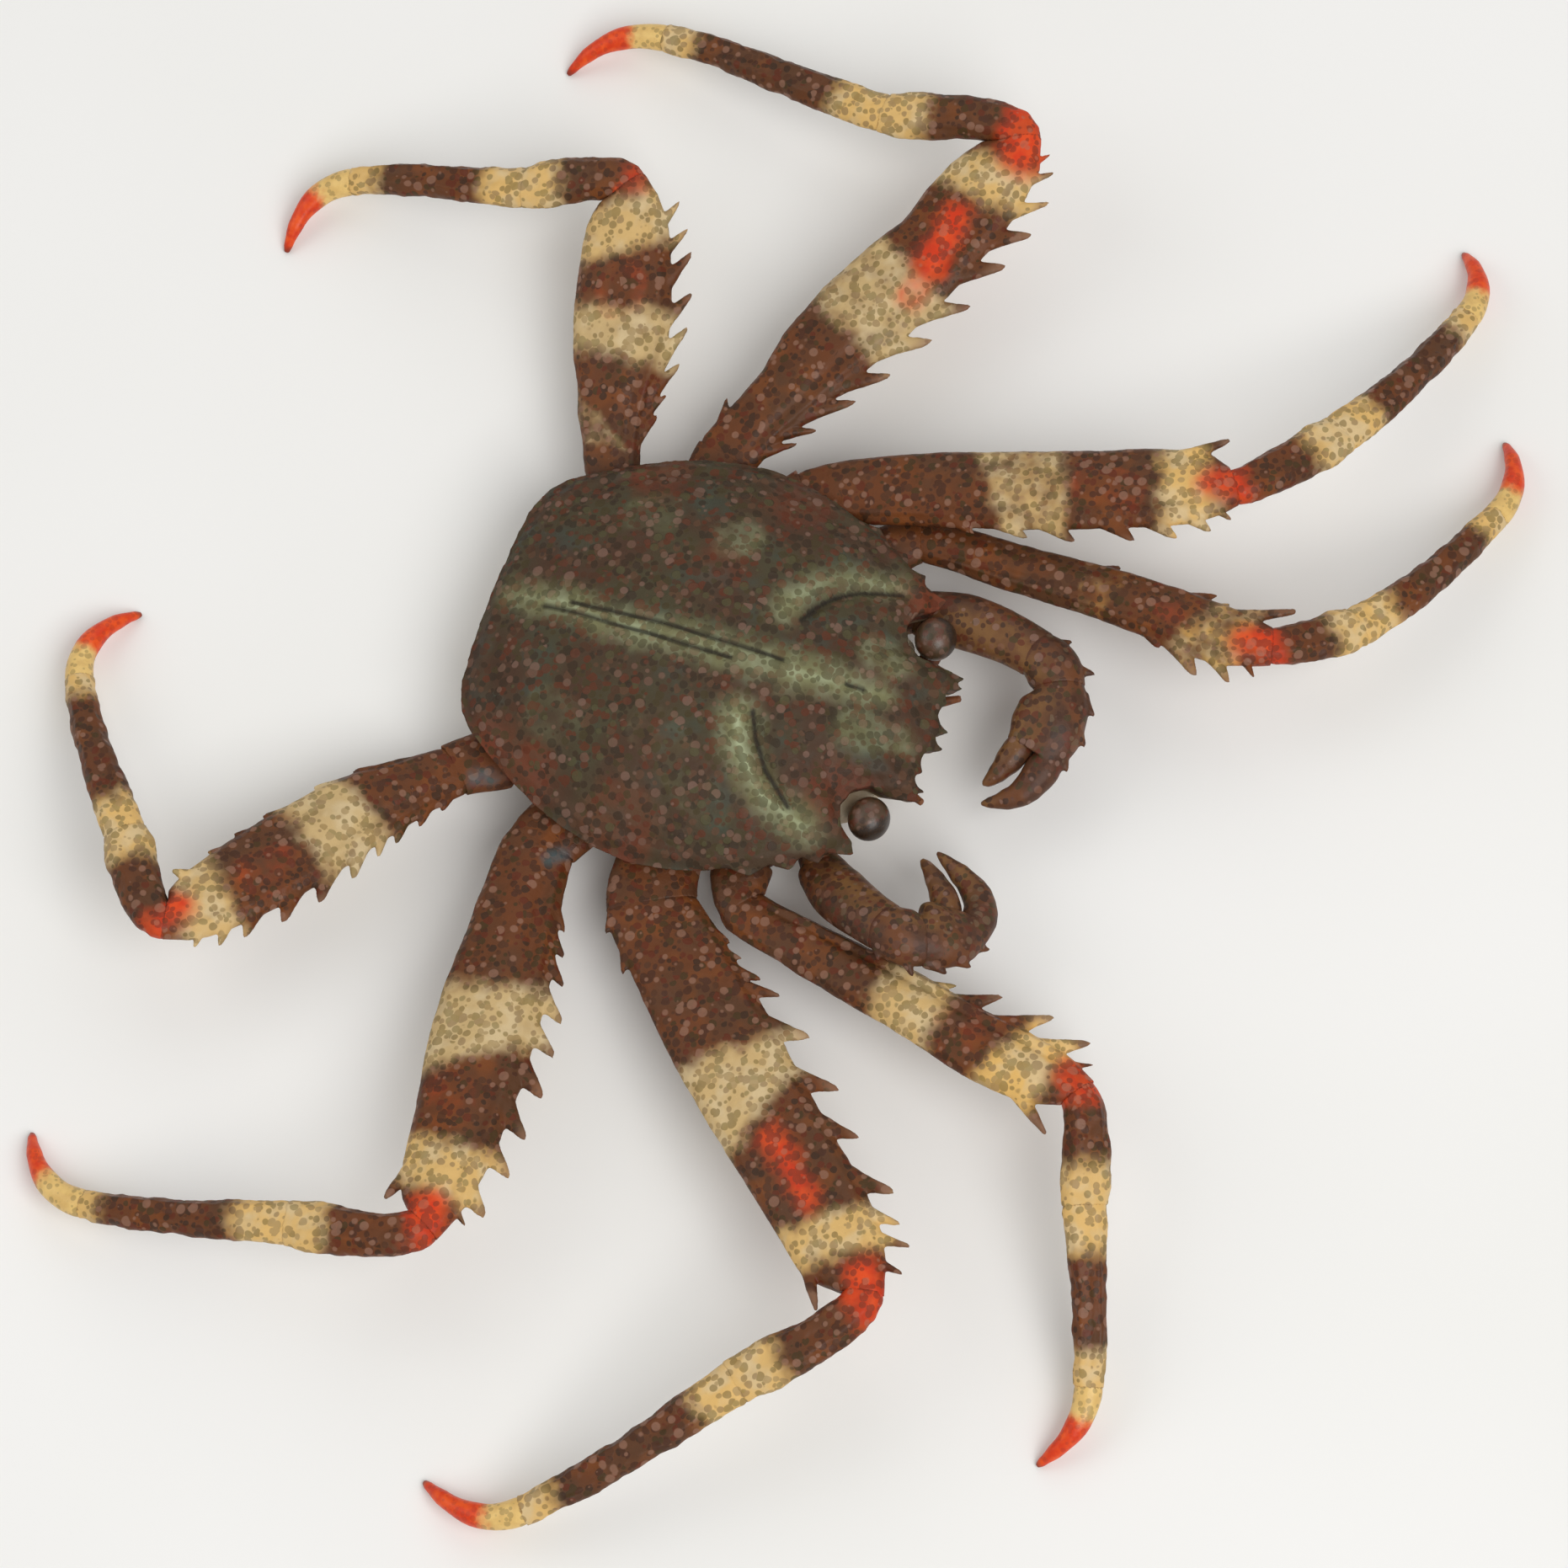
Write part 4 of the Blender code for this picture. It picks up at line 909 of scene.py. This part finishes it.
def saw_tooth():
    """One tooth, 1 mm high on a foot 1 mm long, with a long near slope, a steep far side and a blunt tip."""
    plan = ((-0.6, -0.05, 0.5, 0.5), (0.0, 0.0, 0.5, 0.46), (0.2, 0.11, 0.38, 0.38), (0.42, 0.21, 0.28, 0.3),
            (0.68, 0.32, 0.2, 0.23), (0.88, 0.39, 0.14, 0.16), (1.0, TOOTH_LEAD, 0.08, 0.09))
    sections = [(mm(on, height, 0), FLAT_AXES, half * MM, thick * MM) for height, on, half, thick in plan]
    return draw_out("saw_tooth", sections, sides=12)


def copy_tooth(tooth, place, turn):
    """A copy of the tooth, turned, stretched and set on a place."""
    hold(tooth)
    bpy.ops.object.duplicate(linked=False)
    twin = bpy.context.object
    twin.data.transform(Matrix.Translation(place) @ turn)
    return twin


def tooth_on(tooth, line, side, lean, edge, tip_share, reach, low, foot, hook):
    """Set a copy of the tooth on a segment's edge, by where its tip stands. Low is the edge's own reach."""
    share = tip_share - (TOOTH_LEAD * foot + hook) * MM / line.travel[-1]
    t = line.turn_at(min(share, 0.98))
    way = line.way(t)
    front, up = front_and_up(way, side, math.radians(lean * t))
    height = max(reach - low, 0.3)
    place = line.at(t) + front * edge * low * MM
    grow = front * edge * height + way * hook
    turn = Matrix((way * foot, grow, up * min(0.75 + height * 0.25, 1.2))).transposed().to_4x4()
    return copy_tooth(tooth, place, turn)


def end_spine(tooth, line, side, lean, edges, tip):
    """Stretch a copy of the tooth out of the end of a rear edge, to a tip given in mm."""
    t = line.turn_at(SPINE_SHARE)
    front, up = front_and_up(line.way(t), side, math.radians(lean * t))
    place = line.at(t) - front * (edges(SPINE_SHARE)[0] - SPINE_SUNK) * MM
    reach = (mm(*tip, line.end.z / MM) - place) / MM
    across = reach.cross(up).normalized()
    if across.dot(front) > 0:
        across = -across
    foot = across * SPINE_FOOT
    turn = Matrix((foot, reach - across * TOOTH_LEAD * SPINE_FOOT, up * SPINE_THICK)).transposed().to_4x4()
    return copy_tooth(tooth, place, turn)


def above(up, rise_mm, on, ends):
    """How much a relief shows: only on the upper face, and fading out towards both ends."""
    return np.clip(up / rise_mm, 0, 1) * np.clip(on * ends, 0, 1) * np.clip((1 - on) * ends, 0, 1)


def bands_at(on, across, bands, length):
    """How deep inside the nearest pale band each point is, in mm, and how golden that band is."""
    depth = np.full(len(on), -FAR)
    gold = np.zeros(len(on))
    share = np.clip((across + 1) / 2, 0, 1)
    for rear_start, rear_end, front_start, front_end, ripe, clear in bands:
        start = rear_start + (front_start - rear_start) * share
        end = rear_end + (front_end - rear_end) * share
        inside = np.minimum(np.minimum(on - start, end - on) * length, clear * 2 - 1)
        closer = inside > depth
        gold[closer] = ripe
        depth = np.maximum(depth, inside)
    return depth, gold


def blue_marks(item):
    """How deep in a blue-grey patch of painted shade each point of a piece's upper side is, from 0 to 1."""
    x, y, z = points_of(item).T / MM
    depth = 0
    for start, end, radius in HIP_SHADE_MARKS:
        depth = np.maximum(depth, 1 - line_gap(x, y, (start, end))[0] / radius)
    return depth * np.clip(z - HIP_SHADE_ABOVE, 0, 1)


def merus(name, limb, line, side, lean, tooth):
    edges = merus_edges(limb)
    leans = (0, lean)
    sections = limb_sections(line, side, leans, edges, MERUS_THICKNESS, 22)
    parts = [draw_out(name, sections, sides=28, cup=0.7 * MM)]
    length = line.travel[-1] / MM
    for edge, rows in ((1, FRONT_TEETH[limb]), (-1, REAR_TEETH[limb])):
        before = None
        for tip, reach in rows:
            space = FIRST_SPACE if before is None else (tip - before) * length
            before = tip
            low = edges(min(tip - 0.03, 1.0))[(edge + 1) // 2] - TOOTH_SUNK
            foot = min(max(space, FOOT_LIMITS[0]), FOOT_LIMITS[1])
            hook = TOOTH_HOOK[limb] * chance.uniform(0.85, 1.15) * min(1.0, (reach - low) / 1.5)
            parts.append(tooth_on(tooth, line, side, lean, edge, tip, reach, low, foot, hook))
    if END_SPINES[limb]:
        parts.append(end_spine(tooth, line, side, lean, edges, END_SPINES[limb]))
    item = join(parts)
    on, front, up = skin_of(item, "leg", line, side, leans, 3)
    # Painted shade under the shield's edge
    blue = blue_marks(item)
    across, past = across_limb(on, front, edges)
    # A low ridge inside the front edge and a shallow trough behind it, on the upper face
    ridge = bump(across, 0.74, 0.1) * 0.16 - bump(across, 0.5, 0.14) * 0.14
    ridge += bump(across, -0.8, 0.1) * 0.08 + bump(across, -0.05, 0.3) * 0.08
    press(item, ridge * above(up, 0.5, on, 8) * MM)
    roughen(item, "CLOUDS", 0.0022, 0.16 * MM)
    roughen(item, "CLOUDS", 0.0007, 0.05 * MM)
    pale, gold = bands_at(on, across, PALE_BANDS[limb], length)
    red = -FAR
    for near, near_front, far, far_front, radius, strength in RED_PLACES[limb]:
        middle = ((near * length, near_front), (far * length, far_front))
        gap = line_gap(on * length, front, middle)[0]
        red = np.maximum(red, np.minimum(radius - gap, strength * 2.0 - 1.1))
    mark(item, pale=pale, gold=gold, red=red, tip=np.clip(past / 1.5, 0, 1), soft=on < -0.012, blue=blue)
    finish(item, name, LEG)


def shank_piece(name, line, side, leans, widths, thicknesses, scale, piece, bands):
    """The carpus or the propodus of a leg, with its ridges and bands."""
    edges = even_edges(widths, scale)
    item = draw_out(name, limb_sections(line, side, leans, edges, thicknesses, 16), sides=24, cup=0.6 * MM)
    on, front, up = skin_of(item, "leg", line, side, leans, 3)
    across = across_limb(on, front, edges)[0]
    length = line.travel[-1] / MM
    ridge = bump(across, 0.55, 0.16) * 0.13 - bump(across, 0.0, 0.22) * 0.12
    ridge += bump(across, -0.55, 0.16) * 0.13
    press(item, ridge * above(up, 0.4, on, 6) * MM)
    roughen(item, "CLOUDS", 0.0018, 0.38 * MM)
    roughen(item, "CLOUDS", 0.0007, 0.05 * MM)
    red_end, carpus_end, dark_start, dark_end = bands[:4]
    if piece == "carpus":
        pale, gold, red = (on - carpus_end) * length, 0.6, np.minimum((red_end - on) * length, 0.25)
    else:
        pale, gold, red = np.maximum(dark_start - on, on - dark_end) * length, 0.7, -FAR
    mark(item, pale=pale, gold=gold, red=red, tip=0, soft=on < -0.01)
    finish(item, name, LEG)


def coxa(name, line, side, widths):
    sections = limb_sections(line, side, (0, 0), even_edges(widths), COXA_THICKNESS, 9)
    item = draw_out(name, sections, sides=24, cup=0.6 * MM)
    on = skin_of(item, "leg", line, side, (0, 0), 4)[0]
    # Painted shade under the shield's edge
    blue = blue_marks(item)
    # The seam where the short coxa meets the ischium
    seam = bump((on - 0.42) * line.travel[-1] / MM, 0, 0.22)
    press(item, -seam * 0.28 * MM)
    roughen(item, "CLOUDS", 0.001, 0.06 * MM)
    mark(item, pale=-FAR, gold=0, red=-FAR, tip=0, soft=seam * 0.5, blue=blue)
    finish(item, name, LEG)


def leg_claw(name, line, side, scale, turn):
    """The dactylus, curved down to a sharp tip."""
    thicknesses = slimmer(DACTYLUS_THICKNESS, scale)
    sections = limb_sections(line, side, (0, 0), even_edges(DACTYLUS_WIDTH, scale), thicknesses, 16, neck=0.8)
    item = draw_out(name, sections, sides=16)
    on = skin_of(item, "leg_claw", line, side, (0, 0), 3)[0]
    red = (on - turn) * line.travel[-1] / MM
    mark(item, red=red, tip=np.clip((on - 0.86) / 0.14, 0, 1), soft=on < -0.02)
    finish(item, name, CLAW)


def walking_leg(limb, tooth):
    side_name, number = limb
    side = SIDES[side_name]
    heights, shank = LEG_PAIRS[number]
    name = f"{side_name}_leg_{number}"
    places = zip(LEG_PLAN[limb], (*heights, CLAW_TIP))
    hip, knee, wrist, ankle, tip = [mm(*plan, height) for plan, height in places]
    root, root_way = thorax_face(LEG_FACES[number], side, LEG_ROOT)
    hip_way = (unit(root, hip) + 1.6 * unit(hip, knee)).normalized()
    knee_way = (0.57 * unit(hip, knee) + 0.43 * unit(knee, wrist)).normalized()
    wrist_way = (unit(knee, wrist) + unit(wrist, ankle)).normalized()
    ankle_way = (unit(wrist, ankle) + 0.25 * unit(ankle, tip)).normalized()
    tip_way = (2 * unit(ankle, tip) - ankle_way + Vector((0, 0, -0.6))).normalized()
    lean = MERUS_LEAN[limb]
    bands = SHANK_BANDS[limb]
    end = COXA_END[limb]
    coxa_width = ((0.0, COXA_START), (0.45, (COXA_START + end) / 2 + 0.3), (1.0, end))
    coxa(name + "_coxa", Line(root, root_way, hip, hip_way, 0.8), side, coxa_width)
    merus(name + "_merus", limb, Line(hip, hip_way, knee, knee_way, 0.3), side, lean, tooth)
    shank_piece(name + "_carpus", Line(knee, knee_way, wrist, wrist_way, 0.65), side, (lean, 0),
                CARPUS_WIDTH, CARPUS_THICKNESS, shank, "carpus", bands)
    shank_piece(name + "_propodus", Line(wrist, wrist_way, ankle, ankle_way), side, (0, 0),
                PROPODUS_WIDTH, PROPODUS_THICKNESS, shank, "propodus", bands)
    leg_claw(name + "_claw", Line(ankle, ankle_way, tip, tip_way, 1.25), side, shank, bands[4])


def pincer_piece(node, line, side, edges, thicknesses, pale, extra=()):
    """A segment of a pincer limb. Pale says how many mm inside its middle line the gold begins."""
    sections = limb_sections(line, side, (0, 0), edges, thicknesses, 12)
    free = node.endswith("finger")
    item = join([draw_out(node, sections, sides=24, cup=0.0 if free else 0.4 * MM), *extra])
    on, front = skin_of(item, "pincer", line, side, (0, 0), 4)[:2]
    roughen(item, "CLOUDS", 0.0009, 0.04 * MM)
    mark(item, pale=front + pale, tip=np.clip((on - 0.82) / 0.18, 0, 1) * free, soft=on < -0.06)
    finish(item, node, FINGER if free else PINCER)


def knobs_on(tooth, line, side, knobs, low, hook):
    """Knobs along the outer edge of a pincer's segment. Their feet stand low mm out from its line."""
    return [tooth_on(tooth, line, side, 0.0, -1, share, reach, low, foot, hook)
            for share, reach, foot in knobs]


def pincer(side_name, tooth):
    side = SIDES[side_name]
    name = side_name + "_pincer"
    root, way = thorax_face(PINCER_FACE, side, PINCER_ROOT)
    shoulder, elbow, wrist, knuckle, tip = [mm(*place) for place in CLAW_JOINTS[side_name]]
    shoulder_way = (unit(root, shoulder) + unit(shoulder, elbow)).normalized()
    elbow_way = (unit(shoulder, elbow) + 0.6 * unit(elbow, wrist)).normalized()
    wrist_way = (unit(elbow, wrist) + unit(wrist, knuckle)).normalized()
    palm_way = (unit(wrist, knuckle) + 0.7 * unit(knuckle, tip)).normalized()
    pincer_piece(name + "_base", Line(root, way, shoulder, shoulder_way, 0.8), side,
                 even_edges(CLAW_BASE), CLAW_BASE, 0.5)
    pincer_piece(name + "_merus", Line(shoulder, shoulder_way, elbow, elbow_way, 0.9), side,
                 even_edges(CLAW_MERUS), slimmer(CLAW_MERUS, 0.72), 0.5)
    carpus_line = Line(elbow, elbow_way, wrist, wrist_way)
    knobs = knobs_on(tooth, carpus_line, side, CARPUS_KNOBS, 1.6, 0.15)
    pincer_piece(name + "_carpus", carpus_line, side,
                 even_edges(CLAW_CARPUS), slimmer(CLAW_CARPUS, 0.8), -0.4, knobs)
    palm_line = Line(wrist, wrist_way, knuckle, palm_way, 0.9)
    inner = front_and_up(palm_way, side, 0.0)[0]
    bend = (unit(knuckle, tip) + inner * 0.8).normalized()
    fixed_line = Line(knuckle - inner * FINGER_SPREAD - palm_way * FINGER_SUNK, palm_way,
                      tip - inner * TIP_SPREAD + palm_way * FINGER_LEAD, bend, 1.55)
    fixed = draw_out("finger", limb_sections(
        fixed_line, side, (0, 0), even_edges(CLAW_FIXED), slimmer(CLAW_FIXED, 0.85), 12, neck=0), sides=18)
    knobs = knobs_on(tooth, palm_line, side, PALM_KNOBS, 2.0, 0.1)
    pincer_piece(name + "_palm", palm_line, side,
                 lambda share: (level(share, CLAW_PALM), level(share, CLAW_PALM_FRONT)), CLAW_PALM_THICKNESS,
                 -0.3, [fixed, *knobs])
    free_line = Line(knuckle + inner * FINGER_SPREAD, palm_way,
                     tip + inner * TIP_SPREAD - palm_way * FINGER_LEAD, bend, 0.6)
    pincer_piece(name + "_finger", free_line, side, even_edges(CLAW_FINGER), slimmer(CLAW_FINGER, 0.9), 0.3)


# Body


def both_sides(half):
    """A whole outline from its left half."""
    return half + [(-x, y) for x, y in reversed(half[1:-1])]


def shield_outline():
    """The shield's outline seen from above, in mm, from the front notch round by the left."""
    first, last = ORBIT_TURN
    turns = [math.radians(first + (last - first) * i / 5) for i in range(6)]
    orbit = [(EYE.x / MM + math.cos(turn) * ORBIT_RADIUS, EYE.y / MM + math.sin(turn) * ORBIT_RADIUS)
             for turn in turns]
    return both_sides([*FRONT_MARGIN, *orbit, *SIDE_MARGIN])


def eased_radius(outline, passes):
    """The outline's smoothed distance from the shield's centre, as a function of direction."""
    loop = np.array(outline) - np.array(SHIELD_CENTRE)
    for _ in range(passes):
        loop = (np.roll(loop, 1, 0) + 2 * loop + np.roll(loop, -1, 0)) / 4
    turns = np.arctan2(loop[:, 1], loop[:, 0])
    order = np.argsort(turns)
    turns, radii = turns[order], np.hypot(loop[:, 0], loop[:, 1])[order]
    turns = np.concatenate((turns - math.tau, turns, turns + math.tau))
    radii = np.tile(radii, 3)
    return lambda x, y: np.interp(np.arctan2(y - SHIELD_CENTRE[1], x - SHIELD_CENTRE[0]), turns, radii)


def shield_height(y, share):
    """Height of the shield's top in mm."""
    dome = RIM_TOP + DOME * np.clip(1 - share**2.3, 0, 1) ** 0.75
    ahead = np.clip((SHIELD_CENTRE[1] - y) / 16, 0, None)
    return dome + 0.7 * ahead * share**2


def shield_relief(x, y, share):
    """The shield's grooves, swellings and midline ridges, in mm above its dome."""
    rise = np.zeros(len(x))
    for line in GROOVES:
        gap, on = line_gap(x, y, line)
        rise -= 0.42 * bump(gap, 0, 0.42) * np.clip(on * 6 + 0.2, 0, 1)
        rise -= 0.25 * bump(gap, 0, 1.6)
    for line in MID_LINES:
        rise -= 0.2 * bump(line_gap(x, y, line)[0], 0, 0.2)
    # Soft swellings over the stomach, heart, gills and liver
    for cx, cy, wide, long, high in (
            (3.6, -9.0, 2.6, 3.4, 0.35), (-3.6, -8.6, 2.6, 3.4, 0.35), (0.0, -3.0, 2.4, 2.8, 0.25),
            (0.0, 3.8, 3.2, 2.6, 0.3), (0.0, 10.2, 3.8, 2.6, 0.2), (8.6, 3.4, 3.6, 5.0, 0.35),
            (-8.6, 3.4, 3.6, 5.0, 0.35), (10.2, -6.4, 2.0, 2.6, 0.25), (-10.2, -6.4, 2.0, 2.6, 0.25)):
        rise += high * np.exp(-((x - cx) / wide) ** 2 - ((y - cy) / long) ** 2)
    # A raised rim just inside the edge
    return rise + (0.16 * bump(share, 0.955, 0.02) - 0.12 * bump(share, 0.91, 0.03))


def shield():
    outline = shield_outline()
    item = plate(outline, 0, (SLAB,))
    modelled()
    grow_skin(item, "shield", 2)
    points = points_of(item)
    x, y, z = points[:, 0] / MM, points[:, 1] / MM, points[:, 2] / MM
    edge = eased_radius(outline, 3)(x, y)
    share = np.clip(np.hypot(x - SHIELD_CENTRE[0], y - SHIELD_CENTRE[1]) / edge, 0, 1.15)
    inner = np.clip(share, 0, 1)
    top = shield_height(y, inner) + shield_relief(x, y, share)
    low = RIM_LOW - 0.45 * np.clip((0.93 - inner) / 0.2, 0, 1)
    part = np.clip(z / SLAB, 0, 1)
    height = low + (top - low) * part
    # The teeth of the margin are bevelled beneath
    tuck = 1 - 0.05 * (1 - part) * np.clip((share - 0.86) / 0.1, 0, 1)
    shape = np.stack((x * tuck, y * tuck, height), 1) * MM
    item.data.vertices.foreach_set("co", shape.astype(np.float32).ravel())
    item.data.update()
    run_modifier(item, "SMOOTH", factor=0.5, iterations=3)
    roughen(item, "CLOUDS", 0.0012, 0.1 * MM)
    roughen(item, "VORONOI", 0.0007, 0.07 * MM)
    green = rust = -FAR
    for line, start, end, strength in GREEN_PLACES:
        gap, on = line_gap(x, y, line)
        green = np.maximum(green, np.minimum(start + (end - start) * on - gap, 3.0 * strength - 1.6))
    for cx, cy, radius, strength in RUST_PLACES:
        rust = np.maximum(rust, np.minimum(radius - np.hypot(x - cx, y - cy), 3.0 * strength - 1.6))
    # Painted shade along the midline lines and the grooves, on the shield's upper face only
    score = 0
    for line in (*MID_LINES, *GROOVES):
        score = np.maximum(score, np.clip(1.6 - line_gap(x, y, line)[0] / 0.16, 0, 1) * 0.85)
    mark(item, green=green, rust=rust, score=score * part, under=np.clip((0.4 - part) * 4, 0, 1))
    finish(item, "carapace", SHIELD)


def thorax():
    """The breastplate: one block that carries the limbs, with the seams between its plates."""
    # Upright for 2.1 mm, then drawn in over the last 0.8
    item = plate(both_sides(list(THORAX_MARGIN)), THORAX_TOP, (-2.1, -0.8))
    bpy.ops.transform.resize(value=(0.86, 0.86, 1), center_override=(0, 0, THORAX_LOW * MM))
    modelled()
    grow_skin(item, "thorax", 4)
    points = points_of(item)
    x, y, z = points[:, 0] / MM, points[:, 1] / MM, points[:, 2] / MM
    # The underside rises by 1.1 mm towards the mouth
    rise = 1.1 * np.clip((-8.0 - y) / 6.4, 0, 1)
    points[:, 2] += np.clip((THORAX_TOP - z) / (THORAX_TOP - THORAX_LOW), 0, 1) * rise * MM
    item.data.vertices.foreach_set("co", points.astype(np.float32).ravel())
    seam = np.zeros(len(x))
    for side in SIDES.values():
        for ax, ay in ((9.6, -4.0), (9.9, 1.5), (9.4, 7.0), (8.6, -9.6), (6.0, -12.6)):
            gap = line_gap(x, y, ((ax * side, ay), (2.0 * side, ay + 2.5)))[0]
            seam = np.maximum(seam, bump(gap, 0, 0.35))
    seam *= z < 5.0
    press(item, -seam * 0.45 * MM)
    roughen(item, "CLOUDS", 0.0015, 0.08 * MM)
    # The finish paints shade in the seams along this field
    mark(item, seam=seam)
    finish(item, "thorax", BELLY)


def abdomen():
    """The female's broad flap: seven overlapping plates that turn under the body."""
    places = [mm(0, y, z) for y, z in (
        (15.0, 5.4), (15.0, 3.6), (13.6, 2.45), (9.0, 2.35), (4.0, 2.3), (-1.0, 2.35), (-5.2, 2.4),
        (-7.4, 2.4))]
    halves = (6.0, 7.2, 8.0, 7.9, 7.3, 6.0, 3.6, 3.6)
    # Each plate: place along, width and thickness as shares
    shape = ((-0.02, 0.9, 0.5), (0.05, 0.99, 0.85), (0.3, 1.0, 1.0), (0.8, 0.98, 0.95), (0.97, 0.93, 0.6))
    plates = []
    for near, far, half, following in zip(places, places[1:], halves, halves[1:]):
        sections = []
        across = Vector((1, 0, 0))
        up = unit(near, far).cross(across)
        axes = Matrix((across, up, across.cross(up))).transposed()
        for t, wide, thick in shape:
            width = (half + (following - half) * t) * wide
            sections.append((near.lerp(far, t), axes, width * MM, 0.4 * thick * MM))
        plates.append(draw_out("plate", sections, sides=32))
    item = join(plates)
    grow_skin(item, "abdomen", 2)
    roughen(item, "CLOUDS", 0.0015, 0.06 * MM)
    y = points_of(item)[:, 1] / MM
    # Painted shade in the seams between the plates
    seam = 0
    for place in places[2:-1]:
        seam = np.maximum(seam, bump(y, place.y / MM, 0.25))
    mark(item, seam=seam)
    finish(item, "abdomen", BELLY)


def mouth():
    """The third jaw-feet: a pair of plates with a palp at the head end of each."""
    parts = []
    for side in SIDES.values():
        for places, half, thick in (
                (((1.6, -8.6, 3.15), (1.9, -9.8, 3.1), (2.0, -11.4, 3.4)), 1.45, 0.55),
                (((2.0, -11.55, 3.4), (2.0, -12.6, 3.6), (1.7, -13.8, 3.85)), 1.35, 0.5)):
            sections = [(mm(x * side, y, z), FLAT_AXES, half * share * MM, thick * share * MM)
                        for (x, y, z), share in zip(places, (0.75, 1.0, 0.8))]
            parts.append(draw_out("jaw", sections, sides=16))
    item = join(parts)
    grow_skin(item, "mouth", 3)
    # Painted shade along the seam between the two jaw plates
    mark(item, seam=bump(points_of(item)[:, 0] / MM, 0, 0.3))
    finish(item, "mouth", BELLY)


def eye(side_name):
    side = SIDES[side_name]
    centre = Vector((EYE.x * side, EYE.y, EYE.z))
    fresh()
    bpy.ops.mesh.primitive_uv_sphere_add(segments=40, ring_count=24, radius=MM, location=centre)
    item = bpy.context.object
    grip_all()
    bpy.ops.transform.resize(value=tuple(EYE_RADII / MM), center_override=centre)
    bpy.ops.object.mode_set(mode="OBJECT")
    settle(item)
    away = (points_of(item) - np.array(centre)) / np.array(EYE_RADII)
    mark(item, facet=away @ np.array((0.62 * side, -0.66, -0.42)) - 0.1)
    finish(item, side_name + "_eye", CORNEA)
    start, way = thorax_face(STALK_FACE, side, STALK_ROOT)
    line = Line(start, way, centre - Vector((0, 0, EYE_RADII.z + GAP / 2)), UPRIGHT, 0.9)
    sections = []
    out = Vector((way.y, -way.x, 0))
    for i in range(9):
        t = i / 8
        travel = line.way(t)
        across = travel.cross(out).normalized()
        axes = Matrix((across, travel.cross(across), across.cross(travel.cross(across)))).transposed()
        sections.append((line.at(t), axes, 0.75 * MM, 0.75 * MM))
    stalk = draw_out("stalk", sections, sides=16)
    grow_skin(stalk, "stalk", 2)
    finish(stalk, side_name + "_eyestalk", FEELER)


def feeler(side_name):
    side = SIDES[side_name]
    start = mm(3.2 * side, -14.4, 5.1) - Vector((0, GAP / 2, 0))
    end = mm(4.2 * side, -17.4, 5.7)
    line = Line(start, Vector((0, -1, 0)), end, Vector((0.35 * side, -0.85, 0.3)).normalized())
    widths = ((0.0, 0.65), (0.35, 0.6), (0.5, 0.38), (1.0, 0.26))
    sections = limb_sections(line, side, (0, 0), even_edges(widths), widths, 10, neck=0.3)
    item = draw_out("feeler", sections, sides=14)
    grow_skin(item, "feeler", 2)
    finish(item, side_name + "_antenna", FEELER)


# Stage


def stage():
    fresh()
    bpy.ops.mesh.primitive_plane_add(size=8, location=(0, 0, 0))
    floor = bpy.context.object
    floor.name = "floor"
    floor.data.materials.append(studio_paper())
    # Softboxes: place and size in metres, and power in watts
    for place, size, power in (
            ((-0.25, -0.35, 0.6), 0.5, 3.3), ((0.45, 0.1, 0.5), 0.6, 0.7), ((-0.1, 0.5, 0.45), 0.5, 0.8)):
        light = bpy.data.lights.new("softbox", "AREA")
        light.size = size
        light.energy = power
        item = bpy.data.objects.new("softbox", light)
        bpy.context.scene.collection.objects.link(item)
        item.location = place
        item.rotation_euler = (-Vector(place)).to_track_quat("-Z", "Y").to_euler()
    world = bpy.data.worlds.new("studio")
    world.use_nodes = True
    world.node_tree.nodes["Background"].inputs["Color"].default_value = linear("#f4f4f2")
    world.node_tree.nodes["Background"].inputs["Strength"].default_value = 0.42
    bpy.context.scene.world = world
    bpy.context.scene.view_settings.view_transform = "Standard"
    turn, rise = [math.radians(angle) for angle in CAMERA_TURN]
    back = Vector((math.sin(turn) * math.cos(rise), -math.cos(turn) * math.cos(rise), math.sin(rise)))
    lens = bpy.data.cameras.new("camera")
    lens.lens = LENS
    lens.sensor_width = 36.0
    lens.clip_start = 0.01
    camera = bpy.data.objects.new("camera", lens)
    bpy.context.scene.collection.objects.link(camera)
    camera.location = mm(*AIM) + HOME + back * CAMERA_AWAY
    camera.rotation_euler = back.to_track_quat("Z", "Y").to_euler()
    bpy.context.scene.camera = camera


stage()
tooth = saw_tooth()
for limb in LEGS:
    walking_leg(limb, tooth)
for side_name in SIDES:
    pincer(side_name, tooth)
    eye(side_name)
    feeler(side_name)
bpy.data.objects.remove(tooth)
shield()
thorax()
abdomen()
mouth()
